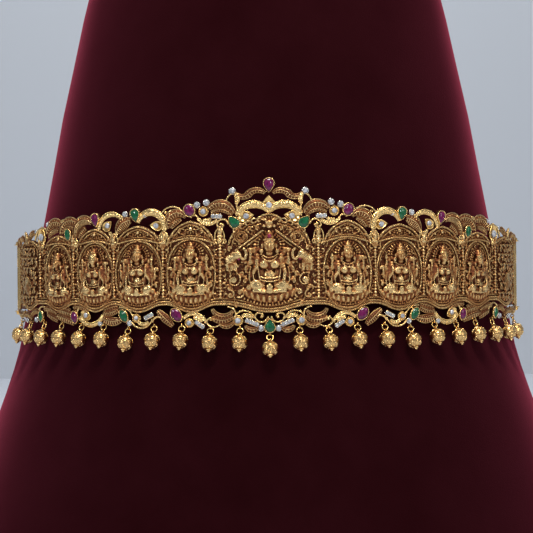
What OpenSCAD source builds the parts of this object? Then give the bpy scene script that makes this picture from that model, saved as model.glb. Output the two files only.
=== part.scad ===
/* [Belt] */
// Half of the loop's width inside, measured across the wearer
belt_half_w = 150; // [145:1:160]
// Half of the loop's depth inside, measured front to back
belt_half_d = 113.5; // [108:0.5:118]
// Radius of the loop at the wearer's sides
side_r = 88; // [84:1:92]
// Thickness of the gold base plate
plate_t = 0.9; // [0.7:0.1:1.2]
// Height of the belt's middle line above the table
belt_z = 170; // [160:5:180]
// Depth of the rope border's dip under each arch
border_dip = 4; // [3:0.5:5]
// Height of the border between two arches, from the middle line
border_z = -19; // [-20:0.5:-18]
// How far a figure stands out from the plate
figure_relief = 3.4; // [2.5:0.1:4]

/* [Cresting] */
// Thickness of the pierced scrolls above and below the arches
scroll_t = 1.6; // [1.2:0.1:2]
// Thickness of the wall round each coloured stone
bezel_wall = 0.5; // [0.4:0.1:0.7]
// Height of that wall above the inside of the belt
bezel_h = 2.8; // [2.4:0.1:3.2]

/* [Stones] */
// Clear gap between a stone and its setting
stone_gap = 0.1; // [0.05:0.05:0.15]
// Height of a coloured stone, back to table
stone_h = 2; // [1.6:0.1:2.2]
// Share of a stone's width that its table takes
table_share = 0.55; // [0.45:0.05:0.65]

/* [Drops] */
// Diameter of a bead drop
bead_d = 8; // [7:0.25:8.5]
// Outer diameter of a jump ring
ring_d = 4; // [3.8:0.1:4.4]
// Wire diameter of jump rings and loops
wire_d = 0.64; // [0.5:0.02:0.68]
// Distance from one drop to the next along the belt
drop_pitch = 15.5; // [15:0.1:15.8]

/* [Back and hinges] */
// Height of the plain back band
band_h = 34; // [28:1:36]
// Length along the belt from its middle to a hinge pin
hinge_s = 186; // [185:0.5:188]
// Diameter of a hinge pin
pin_d = 1.2; // [1:0.1:1.4]

/* [Stand] */
// Height of the velvet form
stand_h = 360; // [355:5:380]
// How far the form's side lies inside the belt's lower edge
stand_side_gap = 1.8; // [1:0.1:3]
// Clear gap between the belt's lower edge and the form's front
stand_gap = 0.3; // [0.3:0.1:0.6]

/* [Hidden] */

gold = "#c9983f";
antique_gold = "#8a5f2c";
velvet = "#4a0f1c";

// Plan of the loop: four arcs that join smoothly
function join_angle(half_w, half_d, r) = 2 * atan((half_d - r) / (half_w - r));
function front_radius(half_w, half_d, r) = r + (half_w - r) / sin(join_angle(half_w, half_d, r));
join_a = join_angle(belt_half_w, belt_half_d, side_r);
front_r = front_radius(belt_half_w, belt_half_d, side_r);
front_len = front_r * join_a * PI / 180;

// Turn of the outward normal at a length s along the belt, in degrees
function turn(s) = sign(s) * (abs(s) <= front_len
    ? abs(s) / front_r * 180 / PI
    : join_a + (abs(s) - front_len) / side_r * 180 / PI);
// Point at length s, n outside the belt's inner face, z above its middle line
function on_loop(s, z, n) = abs(s) <= front_len
    ? [(front_r + n) * sin(turn(s)), front_r - belt_half_d - (front_r + n) * cos(turn(s)), belt_z + z]
    : [sign(s) * (belt_half_w - side_r) + (side_r + n) * sin(turn(s)), -(side_r + n) * cos(turn(s)), belt_z + z];

// Places children with X along the belt, Y up and Z outwards
module on_belt(s, z, n = 0) {
    translate(on_loop(s, z, n)) rotate([0, 0, turn(s)]) rotate([90, 0, 0]) children();
}
module both_sides() {
    children();
    mirror([1, 0, 0]) children();
}

// Solid through a list of rings that all have the same number of points
module loft(rings) {
    count = len(rings[0]);
    last = (len(rings) - 1) * count;
    polyhedron(
        points = [for (ring = rings) for (p = ring) p],
        faces = concat(
            [[for (i = [0:count - 1]) i]],
            [for (k = [0:len(rings) - 2]) for (i = [0:count - 1])
                let (j = (i + 1) % count, a = k * count) [a + i, a + count + i, a + count + j, a + j]],
            [[for (i = [count - 1:-1:0]) last + i]]
        ),
        convexity = 6
    );
}

// Arches
// Columns: place along the belt, half width, height of the peak, size of the figure
half_arches = [
    [41.2, 13.6, 24.5, 0.93], [71, 14.3, 22.5, 0.9], [98.7, 12.6, 21.5, 0.86],
    [126, 11.8, 18.5, 0.8], [155.5, 12.5, 16.5, 0.75]
];
middle_arch = [0, 22.6, 28, 1.08];
arches = concat(
    [for (i = [4:-1:0]) let (a = half_arches[i]) [-a[0], a[1], a[2], a[3]]],
    [middle_arch],
    half_arches
);
spring_z = 5;
valley_z = 9;
niche_share = 0.74;
niche_top_drop = 7.5;
niche_low = -17;
plaque_end = hinge_s - 1.4;
strip_top = 13.6;
strip_low = -24.6;

function arch_z(peak, u) = spring_z
    + (peak - spring_z) * (0.85 * cos(90 * u) + 0.15 * pow(1 - abs(u), 2));
function niche_z(peak, u) = abs(u) > niche_share - 0.01
    ? niche_low + 0.3
    : (peak - niche_top_drop) * (0.35 + 0.65 * pow(cos(90 * u / niche_share), 0.6));
function border_low(u) = border_z - border_dip * pow(cos(90 * u), 2);

// Outlines of the cresting over one half of the belt. Columns: s, z
crest_top = [
    [0, 40], [5, 41], [9, 40.2], [14, 37.6], [19, 41.6], [22, 36], [26, 34.6], [30, 33], [34, 35], [38, 34],
    [42, 33], [46, 30], [52, 31.6], [57, 29.6], [64, 28.8], [67.5, 30], [72.5, 31], [79, 30], [83, 28.2],
    [88, 29], [93, 27.4], [98, 28.8], [102, 27], [110, 26.6], [118, 26.6], [122, 24.6], [127, 26.2],
    [132, 26.4], [138, 22.4], [143, 22.2], [148, 21.6], [154, 20.2], [158, 17], [161, 21], [164, 18],
    [168, 18.2], [171, 16.6], [177, 16.8], [180, 14], [190, 13.6]
];
crest_low = [
    [0, -35.1], [2, -34.6], [4.6, -33.6], [9, -33.6], [13, -31], [16.6, -31], [22, -31.8], [27, -31.3], [33.4, -31.4], [35, -32.2],
    [37, -32.2], [42.5, -31.4], [45, -29.8], [49, -31.4], [54, -29.6], [58, -29], [61, -30.4], [65, -30.4],
    [69, -32.6], [74, -31], [77, -31.8], [80, -29.6], [88, -30.4], [93, -29.6], [96.4, -31.4], [102, -31.6],
    [108, -30], [113.5, -31.6], [118, -30.2], [123, -29.6], [127, -30], [131, -28.8], [136, -28], [141.5, -31],
    [145, -29.8], [148, -30.8], [152, -29.6], [156, -29.7], [160, -31], [164, -28.8], [170, -29.6],
    [176, -26.2], [181, -24.8], [190, -24.6]
];
// Openings cut through the cresting. Columns: s, z, length, width, slope in degrees
gaps = [
    [6, 36.4, 8, 2.6, -20], [4.4, 30, 5, 2.4, 30], [12.6, 30.4, 6, 1.6, -10], [21.6, 30, 4.4, 2.4, 20],
    [30, 20.8, 5, 3, 30], [49, 24.8, 6, 1.8, -30], [65, 19.8, 6.4, 2.6, 40],
    [77.6, 23, 5, 2, -40], [92.6, 19.6, 4, 2.2, 40], [104, 22.6, 6.4, 2, -38],
    [128, 21.6, 6, 2, -30], [10.6, -22.6, 5, 1.6, 30],
    [31.6, -23.6, 4.6, 3, -10],
    [92, -23, 4.6, 1.6, 0], [99.6, -25.2, 6, 2.4, 10],
    [132, -24, 5, 1.8, 10], [157, -25, 4.6, 1.6, 20]
];

// Relief heights from the belt's inside
sheet_n = 1.1;
band_n = plate_t + 0.7;
rope_n = plate_t + 1.5;
// Section of the plaque from its top edge to its low edge: cresting, arch rope, scroll band, niche
// floor, border rope and lower cresting
function plaque_section(s, low, niche, top) = let (
    crest = lookup(abs(s), crest_top),
    hem = lookup(abs(s), crest_low)
) [for (p = [
    [crest, 0], [crest, sheet_n], [top, sheet_n], [top - 0.9, rope_n], [top - 1.9, band_n],
    [niche + 0.5, band_n], [niche, plate_t], [niche_low + 0.3, plate_t], [niche_low, band_n - 0.4],
    [low + 0.9, rope_n], [low, sheet_n], [hem, sheet_n], [hem, 0]
]) on_loop(s, p[0], p[1])];
arch_steps = [-1, -0.76, -0.72, -0.4, 0, 0.4, 0.72, 0.76, 1];
plaque_rows = concat(
    [for (a = arches) for (u = arch_steps)
        [a[0] + u * a[1], border_low(u), niche_z(a[2], u), max(arch_z(a[2], u), valley_z)]],
    [for (s = [170.5, 173, 176.5, 180]) for (side = [-1, 1]) [side * s, -21, niche_low + 0.3, valley_z]],
    [for (s = [plaque_end - 3.6, plaque_end]) for (side = [-1, 1])
        [side * s, strip_low + 1, niche_low + 0.3, strip_top - 1]]
);
function sorted(rows) = len(rows) < 2 ? rows : let (
    pivot = rows[floor(len(rows) / 2)][0]
) concat(
    sorted([for (r = rows) if (r[0] < pivot) r]),
    [for (r = rows) if (r[0] == pivot) r],
    sorted([for (r = rows) if (r[0] > pivot) r])
);
module plaque_body() {
    difference() {
        loft([for (row = sorted(plaque_rows)) plaque_section(row[0], row[1], row[2], row[3])]);
        both_sides() for (gap = gaps)
            on_belt(gap[0], gap[1], -1) rotate([0, 0, gap[4]]) scale([gap[2] / 2, gap[3] / 2, 1])
                cylinder(h = 4, r = 1, $fn = 4);
    }
}

// Raised ridge along a path of [s, z, half width]
function path_dir(path, i) = let (
    a = path[max(i - 1, 0)],
    b = path[min(i + 1, len(path) - 1)],
    d = [b[0] - a[0], b[1] - a[1]]
) d / norm(d);
function strip_ring(p, dir, low, high) = let (side = [-dir[1], dir[0]]) [
    on_loop(p[0] - side[0] * p[2], p[1] - side[1] * p[2], low),
    on_loop(p[0], p[1], high),
    on_loop(p[0] + side[0] * p[2], p[1] + side[1] * p[2], low)
];
module strip(path, low, high) {
    loft([for (i = [len(path) - 1:-1:0]) strip_ring(path[i], path_dir(path, i), low, high)]);
}

// Seated figure on a lotus seat, 36 units high, with a halo that slopes into the head
// Columns: height, half width at the back, half width in front, depth
figure_rows = [
    [0, 9, 5, 2.2], [6, 13, 7, 3.8], [10, 10, 5.5, 4.6], [12.5, 3.4, 2, 3.4], [18.5, 4.8, 2.8, 3.9],
    [20.8, 3.6, 1.3, 3], [24, 6.2, 1.7, 4.6], [28, 5.6, 1.4, 4], [34, 1, 0.5, 2.6]
];
// Arm as points at shoulder, elbow and hand: x, height, half width
arm_rows = [[3, 18.5, 1.4], [9, 15, 1.2], [9.6, 23.5, 1.4]];
arm_depth = 1.8;
figure_low = -21.2;
figure_units = 4.6;
module seated_figure(a) {
    k = a[3];
    on_belt(a[0], figure_low, plate_t - 0.4) scale([k, k, (figure_relief + 0.4) / figure_units])
        loft([for (row = figure_rows) let (h = row[0], back = row[1], front = row[2], d = row[3])
            [[-back, h, 0], [-front, h, d], [front, h, d], [back, h, 0]]]);
    for (side = [-1, 1])
        strip([for (p = arm_rows) [a[0] + side * p[0] * k, figure_low + p[1] * k, p[2] * k]],
            plate_t - 0.4, plate_t + arm_depth);
}

// Scrolls and leaves of the cresting
// Each is an arc through three points; columns: s0, z0, s1, z1, s2, z2, then half widths at the
// start, middle and end
top_scrolls = [
    [2, 38.4, 6, 40, 10.5, 38, 0.6, 1.2, 1.6], [10.5, 38, 14, 36.6, 17.6, 39, 1.6, 1.2, 0.5],
    [0, 28.6, 9.5, 32.8, 16.8, 27.5, 0.7, 1.8, 0.9], [17, 28, 22.8, 32.8, 31.5, 30.6, 0.7, 1.7, 0.8],
    [27, 24.7, 32, 22.7, 37.2, 25.6, 0.5, 0.9, 0.5],
    [43.8, 26.3, 52, 28.2, 53.4, 20.5, 0.6, 1.4, 0.6],
    [56.4, 17, 59, 26.4, 69, 22.6, 1, 1.4, 0.8], [75.4, 26.3, 80.5, 24.8, 84, 18.5, 0.7, 1.4, 0.7],
    [80.5, 26, 89.5, 28.2, 95.8, 21, 0.6, 1.2, 0.9], [100.5, 24.8, 110.4, 25, 112.6, 16, 0.7, 1.6, 0.7],
    [112.5, 24.6, 119.5, 25.4, 124.5, 18, 0.7, 1.3, 0.6], [124.5, 24, 131.5, 25, 137.6, 16, 0.7, 1.4, 0.7],
    [150, 19.6, 153.6, 18.6, 157.4, 14.6, 0.6, 1, 0.6],
    [162, 13.6, 167.5, 17, 172.6, 12, 0.7, 1, 0.7]
];
low_scrolls = [
    [0.8, -26, 4, -29, 7.6, -26, 0.6, 0.6, 0.6], [7.8, -27, 13.4, -23.4, 18.4, -26.2, 0.5, 0.7, 0.5],
    [19.2, -23, 24.5, -26, 30, -22, 0.6, 1.2, 0.6],
    [19, -27, 23.5, -29.8, 29.4, -28, 0.6, 1.2, 0.6], [33.2, -29, 39.5, -24.2, 45.4, -27, 0.5, 0.8, 0.6],
    [52.4, -30.4, 56, -27.4, 60.6, -22, 0.7, 1.3, 0.7], [63.2, -27.5, 68.6, -31.8, 75.4, -28.6, 0.5, 0.7, 0.6],
    [83, -27.8, 87.5, -29, 93.6, -27.2, 0.7, 1.2, 0.7],
    [96.6, -25.6, 103, -30.2, 109.6, -26.8, 0.6, 1, 0.7], [116, -30, 120.5, -28.2, 128.4, -24, 0.6, 1.1, 0.6],
    [128, -28.6, 131.8, -27.2, 136.4, -25.6, 0.6, 1, 0.6], [144.6, -25, 150, -24.6, 154, -28, 0.6, 0.8, 0.6]
];
function arc_centre(a, b, c) = let (
    d = 2 * (a[0] * (b[1] - c[1]) + b[0] * (c[1] - a[1]) + c[0] * (a[1] - b[1])),
    qa = a * a, qb = b * b, qc = c * c
) [
    (qa * (b[1] - c[1]) + qb * (c[1] - a[1]) + qc * (a[1] - b[1])) / d,
    (qa * (c[0] - b[0]) + qb * (a[0] - c[0]) + qc * (b[0] - a[0])) / d
];
function way_round(from, to, left) = let (d = to - from) left ? (d < 0 ? d + 360 : d) : (d > 0 ? d - 360 : d);
function arc_path(row, steps) = let (
    a = [row[0], row[1]], b = [row[2], row[3]], c = [row[4], row[5]],
    o = arc_centre(a, b, c),
    r = norm(a - o),
    from = atan2(a[1] - o[1], a[0] - o[0]),
    to = atan2(c[1] - o[1], c[0] - o[0]),
    left = cross(b - a, c - b) > 0,
    sweep = way_round(from, to, left)
) [for (i = [0:steps]) let (u = i / steps, w = u < 0.5
        ? row[6] + (row[7] - row[6]) * sin(180 * u)
        : row[8] + (row[7] - row[8]) * sin(180 * u))
    [o[0] + r * cos(from + sweep * u), o[1] + r * sin(from + sweep * u), w]];
module scroll(row) {
    span = norm([row[4] - row[0], row[5] - row[1]]);
    strip(arc_path(row, span > 9 ? 3 : 2), sheet_n - 0.3, sheet_n + scroll_t);
}

// Stones
// Outline kinds: 0 oval, 1 pear with its point up, 2 marquise
function outline(kind, h, w, steps) = [for (i = [0:steps - 1]) let (t = 360 * i / steps) [
    -w / 2 * sin(t) * (kind == 1 ? 1.25 * pow(abs(sin(t / 2)), 0.9) : kind == 2 ? pow(abs(sin(t)), 0.3) : 1),
    h / 2 * cos(t)
]];
// Columns: s, z, kind, height, width, lean from upright in degrees
middle_ruby = [0, 42.6, 1, 6.8, 5, 180];
half_rubies = [
    [41.8, 29.9, 0, 6, 5.2, 20], [98, 25.9, 1, 6.8, 4.6, 193],
    [49.3, -25.2, 2, 7.4, 5, 38], [113.4, -27, 2, 6.4, 4.4, 17]
];
middle_emerald = [0, -30.9, 1, 6.6, 5, 0];
half_emeralds = [
    [18.4, 23.6, 1, 6.6, 5, 41], [72.5, 27.8, 1, 6.6, 4.8, 193], [118.1, 18.6, 0, 6, 3.8, 14],
    [80, -25.8, 2, 6.8, 4.2, 31], [142.2, -27, 2, 6, 3.6, 8]
];
function flipped(row) = [-row[0], row[1], row[2], row[3], row[4], -row[5]];
function whole_set(middle, half) = concat(
    [for (i = [len(half) - 1:-1:0]) flipped(half[i])], [middle], half);
rubies = whole_set(middle_ruby, half_rubies);
emeralds = whole_set(middle_emerald, half_emeralds);

// Columns: s, z, radius
middle_whites = [[0, 32.2, 1.5]];
half_whites = [
    [19, 39.7, 1.35], [11.9, 26.5, 1.35], [37.8, 32.7, 1.25], [32.7, 33.9, 1.25], [34.4, 29.2, 1.4],
    [60.5, 22.1, 1.35], [79, 28.6, 1.2], [67.3, 28.2, 1.2], [90, 22.8, 1.4], [141.4, 17.6, 1.4],
    [135.6, 24.6, 1.1], [147.5, 21, 0.9], [4.6, -32.3, 1.2], [16.6, -28.2, 1.5], [42.5, -29.4, 1.25],
    [72.6, -27, 1.2], [76.8, -29.7, 1.1], [95.8, -30, 1.1], [105.4, -25.8, 1.3], [147.8, -29, 1.2],
    [160, -29.6, 1.1]
];
// Bars of pave stones. Columns: s, z, slope in degrees, number of stones
half_pave = [[27.4, 26.6, 2, 3], [9.2, -29.3, 22, 4], [36.8, -30.2, 34, 3], [65.2, -26, -26, 3]];
pave_pitch = 1.75;
pave_r = 0.75;

cut_sides = 8;
module bezel(row) {
    wide = 2 * (bezel_wall + stone_gap);
    outer = outline(row[2], row[3] + wide, row[4] + wide, cut_sides);
    inner = outline(row[2], row[3] + 2 * stone_gap, row[4] + 2 * stone_gap, cut_sides);
    seat = bezel_h - stone_h + 0.5;
    on_belt(row[0], row[1]) rotate([0, 0, -row[5]]) loft([
        [for (p = outer) [p[0], p[1], 0]], [for (p = outer) [p[0], p[1], bezel_h]],
        [for (p = inner) [p[0], p[1], bezel_h]], [for (p = inner) [p[0], p[1], seat]]
    ]);
}
module cut_stone(row) {
    low = outline(row[2], row[3], row[4], cut_sides);
    top = outline(row[2], row[3] * table_share, row[4] * table_share, cut_sides);
    seat = bezel_h - stone_h + 0.5 + stone_gap;
    girdle = bezel_h - 0.1;
    on_belt(row[0], row[1]) rotate([0, 0, -row[5]]) loft([
        [for (p = low) [p[0], p[1], seat]], [for (p = low) [p[0], p[1], girdle]],
        [for (p = top) [p[0], p[1], seat + stone_h]]
    ]);
}
bar_h = 1.9;
module round_stone(r, n) {
    translate([0, 0, n + stone_gap]) cylinder(h = 0.9 * r, r1 = r, r2 = r * table_share, $fn = cut_sides);
}
module pave_bar(row) {
    len_half = (row[3] * pave_pitch - 1) / 2;
    on_belt(row[0], row[1]) rotate([0, 0, row[2]]) hull() for (x = [-len_half, len_half])
        translate([x, 0, 0]) cylinder(h = bar_h, r = 1.15, $fn = 6);
}
module pave_row(row) {
    on_belt(row[0], row[1]) rotate([0, 0, row[2]]) for (i = [0:row[3] - 1])
        translate([(i - (row[3] - 1) / 2) * pave_pitch, 0, 0]) round_stone(pave_r, bar_h);
}

// Drops, from the middle outwards
bead_r = bead_d / 2;
loop_r = 1;
ring_r = (ring_d - wire_d) / 2;
hook = wire_d + 0.13;
ring_centre = loop_r - hook + ring_r;
eye_centre = ring_centre + ring_r - hook + loop_r;
bead_centre = eye_centre + loop_r + bead_r - 0.3;
// Heights of the fixed loops, middle one first
loop_heights = [-35.5, -31.9, -31.9, -30.8, -30.9, -32.4, -30.4, -30.8, -30.4, -30.6, -30.4, -30.2];
loop_n = 1.2;
loop_low = -35;
form_slope = 0.24;
// Lean that lets a bead's back just clear the velvet
function side_gap(s) = stand_gap + (stand_side_gap - stand_gap) * pow(sin(turn(s)), 2);
function drop_lean(s, z) = let (phi = atan(form_slope)) phi + asin(cos(phi)
    * ((bead_r + 0.5) * cos(phi) - loop_n - side_gap(s) + form_slope * (loop_low - z)) / bead_centre);
function drop_s(i) = (i - 12) * drop_pitch;
function drop_z(i) = loop_heights[abs(i - 12)];
module hang(i) {
    on_belt(drop_s(i), drop_z(i), loop_n) rotate([-drop_lean(drop_s(i), drop_z(i)), 0, 0]) children();
}
module upright_loop(r) {
    rotate([0, 90, 0]) rotate_extrude($fn = 32) translate([r, 0]) circle(d = wire_d, $fn = 24);
}
module bead_drop(i) {
    hang(i) {
        translate([0, -eye_centre, 0]) upright_loop(loop_r);
        translate([0, -bead_centre, 0]) rotate([-90, 0, 0]) {
            sphere(r = bead_r, $fn = 48);
            rotate_extrude($fn = 48) translate([bead_r, 0]) circle(r = 0.35, $fn = 24);
            rotate_extrude($fn = 48) polygon([[0, -bead_r - 1.3], [0.8, -bead_r - 0.8],
                [0.7, -bead_r], [1.6, -bead_r + 0.6], [0, -bead_r + 0.6]]);
        }
    }
}
module jump_ring(i) {
    hang(i) translate([0, -ring_centre, 0])
        rotate_extrude($fn = 32) translate([ring_r, 0]) circle(d = wire_d, $fn = 24);
}
// Fixed loop, open where it is soldered on
module fixed_loop(i) {
    s = drop_s(i);
    z = drop_z(i);
    on_belt(s, z, loop_n) rotate([0, 90, 0]) rotate_extrude(angle = 180, $fn = 6)
        translate([loop_r, 0]) circle(d = wire_d, $fn = 4);
}

// Hinges at the two ends
knuckle_r = 1.25;
knuckle_n = 0.8;
knuckle_gap = 0.2;
tab_t = 0.6;
tab_y = 0.05;
knuckles = 3;
knuckle_h = (strip_top - strip_low) / knuckles;
module knuckle_row(first, side, sides) {
    for (k = [first:2:knuckles - 1]) {
        low = strip_low + k * knuckle_h + knuckle_gap / 2;
        high = low + knuckle_h - knuckle_gap;
        translate(on_loop(hinge_s, low, knuckle_n)) difference() {
            union() {
                cylinder(h = high - low, r = knuckle_r, $fn = sides);
                rotate([0, 0, turn(hinge_s)]) translate([side > 0 ? 0.7 : -2.2, tab_y, 0.3])
                    cube([1.5, tab_t, high - low - 0.6]);
            }
            translate([0, 0, -1]) cylinder(h = high - low + 2, r = pin_d / 2 + 0.15, $fn = sides);
        }
    }
}
module hinge_pin() {
    color(gold) translate(on_loop(hinge_s, 0, knuckle_n)) rotate_extrude($fn = 32) polygon([
        [0, strip_low - 3.2], [0.7, strip_low - 2.4], [1.1, strip_low - 1.3], [0.7, strip_low - 0.2],
        [pin_d / 2, strip_low - 0.2], [pin_d / 2, strip_top + 0.2], [0.7, strip_top + 0.2],
        [1.1, strip_top + 1.3], [0.7, strip_top + 2.4], [0, strip_top + 3.2]
    ]);
}

module front_plaque() {
    color(antique_gold) {
        plaque_body();
        for (a = arches) seated_figure(a);
        both_sides() knuckle_row(0, -1, 8);
    }
    color(gold) {
        both_sides() {
            for (row = concat(top_scrolls, low_scrolls)) scroll(row);
            for (row = half_pave) pave_bar(row);
        }
        for (row = concat(rubies, emeralds)) bezel(row);
        for (i = [1:23]) fixed_loop(i);
    }
}

// Back stretch of the loop
band_low = -22;
edge_t = 0.6;
edge_h = 1.4;
module band_arc(centre, r, from, to) {
    translate([centre[0], centre[1], belt_z + band_low]) rotate([0, 0, from])
        rotate_extrude(angle = to - from, $fn = 180) polygon([
            [r, 0], [r + plate_t + edge_t, 0], [r + plate_t + edge_t, edge_h], [r + plate_t, edge_h + edge_t],
            [r + plate_t, band_h - edge_h - edge_t], [r + plate_t + edge_t, band_h - edge_h],
            [r + plate_t + edge_t, band_h], [r, band_h]
        ]);
}
seam_w = 3;
// Flat strip over the seam between two arcs of the band
module band_seam() {
    translate([belt_half_w - side_r, 0, belt_z + band_low]) rotate([0, 0, 90 - join_a])
        translate([side_r + 0.2, -seam_w / 2, 0]) cube([plate_t + edge_t - 0.1, seam_w, band_h]);
}
module back_band() {
    start = turn(hinge_s + 1.4) - 90;
    side_x = belt_half_w - side_r;
    color(gold) {
        band_arc([side_x, 0], side_r, start, 90 - join_a);
        band_arc([0, belt_half_d - front_r], front_r, 90 - join_a, 90 + join_a);
        band_arc([-side_x, 0], side_r, 90 + join_a, 180 - start);
        both_sides() {
            band_seam();
            knuckle_row(1, 1, 24);
        }
    }
}

// Velvet form. Columns: height above the table, how far its side stands out from the section at the
// belt's lower edge
form_rows = [
    [0, 44], [45, 28.5], [80, 16.5], [110, 6], [135, 0], [200, -13], [260, -24], [320, -37],
    [345, -43.5], [354, -47.5], [359, -53], [stand_h, -59]
];
// Points of the core's outline and inner radii of the sectors round it
form_core = [[80, -8], [80, 8], [62, 26], [-62, 26], [-80, 8], [-80, -8], [-62, -26], [62, -26]];
side_inner_r = 10;
front_inner_r = 80;
// The side sectors run under the front and back ones and lie a hair lower
seam_lap = 1;
seam_step = 0.05;
module form_arc(centre, r, from, to, inner) {
    translate(centre) rotate([0, 0, from]) rotate_extrude(angle = to - from, $fn = 180)
        polygon(concat([[inner, 0]], [for (row = form_rows) [r + row[1], row[0]]], [[inner, stand_h]]));
}
module display_stand() {
    half_w = belt_half_w - stand_side_gap;
    half_d = belt_half_d - stand_gap;
    r = side_r - stand_gap;
    a = join_angle(half_w, half_d, r);
    big_r = front_radius(half_w, half_d, r);
    side = 90 - a + seam_lap;
    color(velvet) {
        form_arc([0, big_r - half_d], big_r, -90 - a, -90 + a, front_inner_r);
        form_arc([half_w - r, 0], r - seam_step, -side, side, side_inner_r);
        form_arc([0, half_d - big_r], big_r, 90 - a, 90 + a, front_inner_r);
        form_arc([r - half_w, 0], r - seam_step, 180 - side, 180 + side, side_inner_r);
        linear_extrude(stand_h) polygon(form_core);
    }
}

module white_stones() {
    color("white") {
        both_sides() {
            for (row = half_whites) on_belt(row[0], row[1]) round_stone(row[2], sheet_n);
            for (row = half_pave) pave_row(row);
        }
        for (row = middle_whites) on_belt(row[0], row[1]) round_stone(row[2], sheet_n);
    }
}

display_stand();
front_plaque();
back_band();
mirror([1, 0, 0]) hinge_pin();  // hinge_pin_left
hinge_pin();  // hinge_pin_right
white_stones();
color(gold) for (i = [1:23]) jump_ring(i);  // jump_rings
for (i = [1:9]) color("#8a1040") cut_stone(rubies[i - 1]);
for (i = [1:11]) color("#0f6b45") cut_stone(emeralds[i - 1]);
for (i = [1:23]) color(gold) bead_drop(i);
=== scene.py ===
import math
import random
import bmesh
import bpy
import numpy as np
from mathutils import Matrix, Vector


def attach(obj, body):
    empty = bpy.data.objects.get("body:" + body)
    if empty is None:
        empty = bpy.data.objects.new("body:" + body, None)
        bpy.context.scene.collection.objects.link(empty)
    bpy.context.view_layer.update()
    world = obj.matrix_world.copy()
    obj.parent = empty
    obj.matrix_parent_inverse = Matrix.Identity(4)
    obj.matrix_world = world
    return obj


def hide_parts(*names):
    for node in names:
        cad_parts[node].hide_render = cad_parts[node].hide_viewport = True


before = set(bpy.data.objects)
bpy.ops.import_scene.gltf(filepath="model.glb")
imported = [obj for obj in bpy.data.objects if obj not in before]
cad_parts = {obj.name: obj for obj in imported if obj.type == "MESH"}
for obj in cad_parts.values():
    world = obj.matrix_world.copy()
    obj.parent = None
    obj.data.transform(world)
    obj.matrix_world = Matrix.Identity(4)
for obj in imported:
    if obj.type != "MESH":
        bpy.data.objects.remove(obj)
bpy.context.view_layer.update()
dice = random.Random(11)
mm = 0.001
bothWays = (-1, 1)
print("frame loaded")

# an oval of four arcs: the angle where they meet, the front arc's radius and half its length
def ovalArcs(shape):
    straight = shape["halfWidth"] - shape["sideRadius"]
    meets = 2 * math.atan((shape["halfDepth"] - shape["sideRadius"]) / straight)
    radius = shape["sideRadius"] + straight / math.sin(meets)
    return meets, radius, radius * meets

# the belt's loop, all in millimetres
loop = {"halfWidth": 150, "halfDepth": 113.5, "sideRadius": 88, "middleHeight": 170}
joinAngle, frontRadius, frontLength = ovalArcs(loop)

def turnAt(s):
    size = np.abs(s)
    turn = np.where(size <= frontLength, size / frontRadius, joinAngle + (size - frontLength) / loop["sideRadius"])
    return np.sign(s) * turn

# where a point s along the loop, z up and n outwards lies
def onLoop(s, z, n):
    onFront = np.abs(s) <= frontLength
    turn = turnAt(s)
    radius = np.where(onFront, frontRadius, loop["sideRadius"]) + n
    x = np.where(onFront, 0, np.sign(s) * (loop["halfWidth"] - loop["sideRadius"])) + radius * np.sin(turn)
    y = np.where(onFront, frontRadius - loop["halfDepth"], 0) - radius * np.cos(turn)
    return np.stack([x, y, z + loop["middleHeight"]], axis=1) * mm

# shapes, all drawn flat in millimetres: x along the belt, y up, z outwards
def ball(bm, at, size, turn=0, level=2):
    place = (Matrix.Translation(at) @ Matrix.Rotation(math.radians(turn), 4, "Z")
             @ Matrix.Diagonal((size[0], size[1], size[2], 1)))
    bmesh.ops.create_icosphere(bm, subdivisions=level, radius=1, matrix=place)

def bead(bm, x, y, z, size):
    ball(bm, (x, y, z), (size, size, size), 0, 1)

# rows of x, y, z, half width, half height, half depth and perhaps a turn
def balls(bm, rows, side=1, level=2):
    for x, y, z, wide, tall, deep, *turn in rows:
        ball(bm, (side * x, y, z), (wide, tall, deep), side * (turn[0] if turn else 0), level)

def limb(bm, start, end, startRadius, endRadius, sides=10):
    start, end = Vector(start), Vector(end)
    along = end - start
    place = Matrix.Translation((start + end) / 2) @ along.to_track_quat("Z", "Y").to_matrix().to_4x4()
    bmesh.ops.create_cone(bm, cap_ends=True, segments=sides, radius1=startRadius, radius2=endRadius,
                          depth=along.length, matrix=place)
    ball(bm, end, [endRadius] * 3)

# rows of start, end, radius at each and perhaps a number of sides
def limbs(bm, rows, side=1):
    for (x, y, z), (x2, y2, z2), *sizes in rows:
        limb(bm, (side * x, y, z), (side * x2, y2, z2), *sizes)

def circle(bm, at, radius, count):
    return bmesh.ops.create_circle(bm, segments=count, radius=radius, matrix=Matrix.Translation(at))["verts"]

def makeObject(name, mesh):
    obj = bpy.data.objects.new(name, mesh)
    bpy.context.scene.collection.objects.link(obj)
    return obj

def meshFrom(bm, name):
    mesh = bpy.data.meshes.new(name)
    bm.to_mesh(mesh)
    bm.free()
    return mesh

def solidify(obj):
    graph = bpy.context.evaluated_depsgraph_get()
    mesh = bpy.data.meshes.new_from_object(obj.evaluated_get(graph))
    old = obj.data
    bpy.data.objects.remove(obj)
    store = bpy.data.meshes if isinstance(old, bpy.types.Mesh) else bpy.data.curves
    store.remove(old)
    return mesh

# a set of tapered wires; each is a list of points x, y, z, radius
def wires(strokes, sides=2, closed=False):
    line = bpy.data.curves.new("wires", "CURVE")
    line.dimensions = "3D"
    line.bevel_depth = 1
    line.bevel_resolution = sides
    line.use_fill_caps = True
    for stroke in strokes:
        spline = line.splines.new("POLY")
        spline.points.add(len(stroke) - 1)
        for point, (x, y, z, radius) in zip(spline.points, stroke):
            point.co = (x, y, z, 1)
            point.radius = radius
        spline.use_cyclic_u = closed
        spline.use_smooth = True
    return solidify(makeObject("wires", line))

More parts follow.
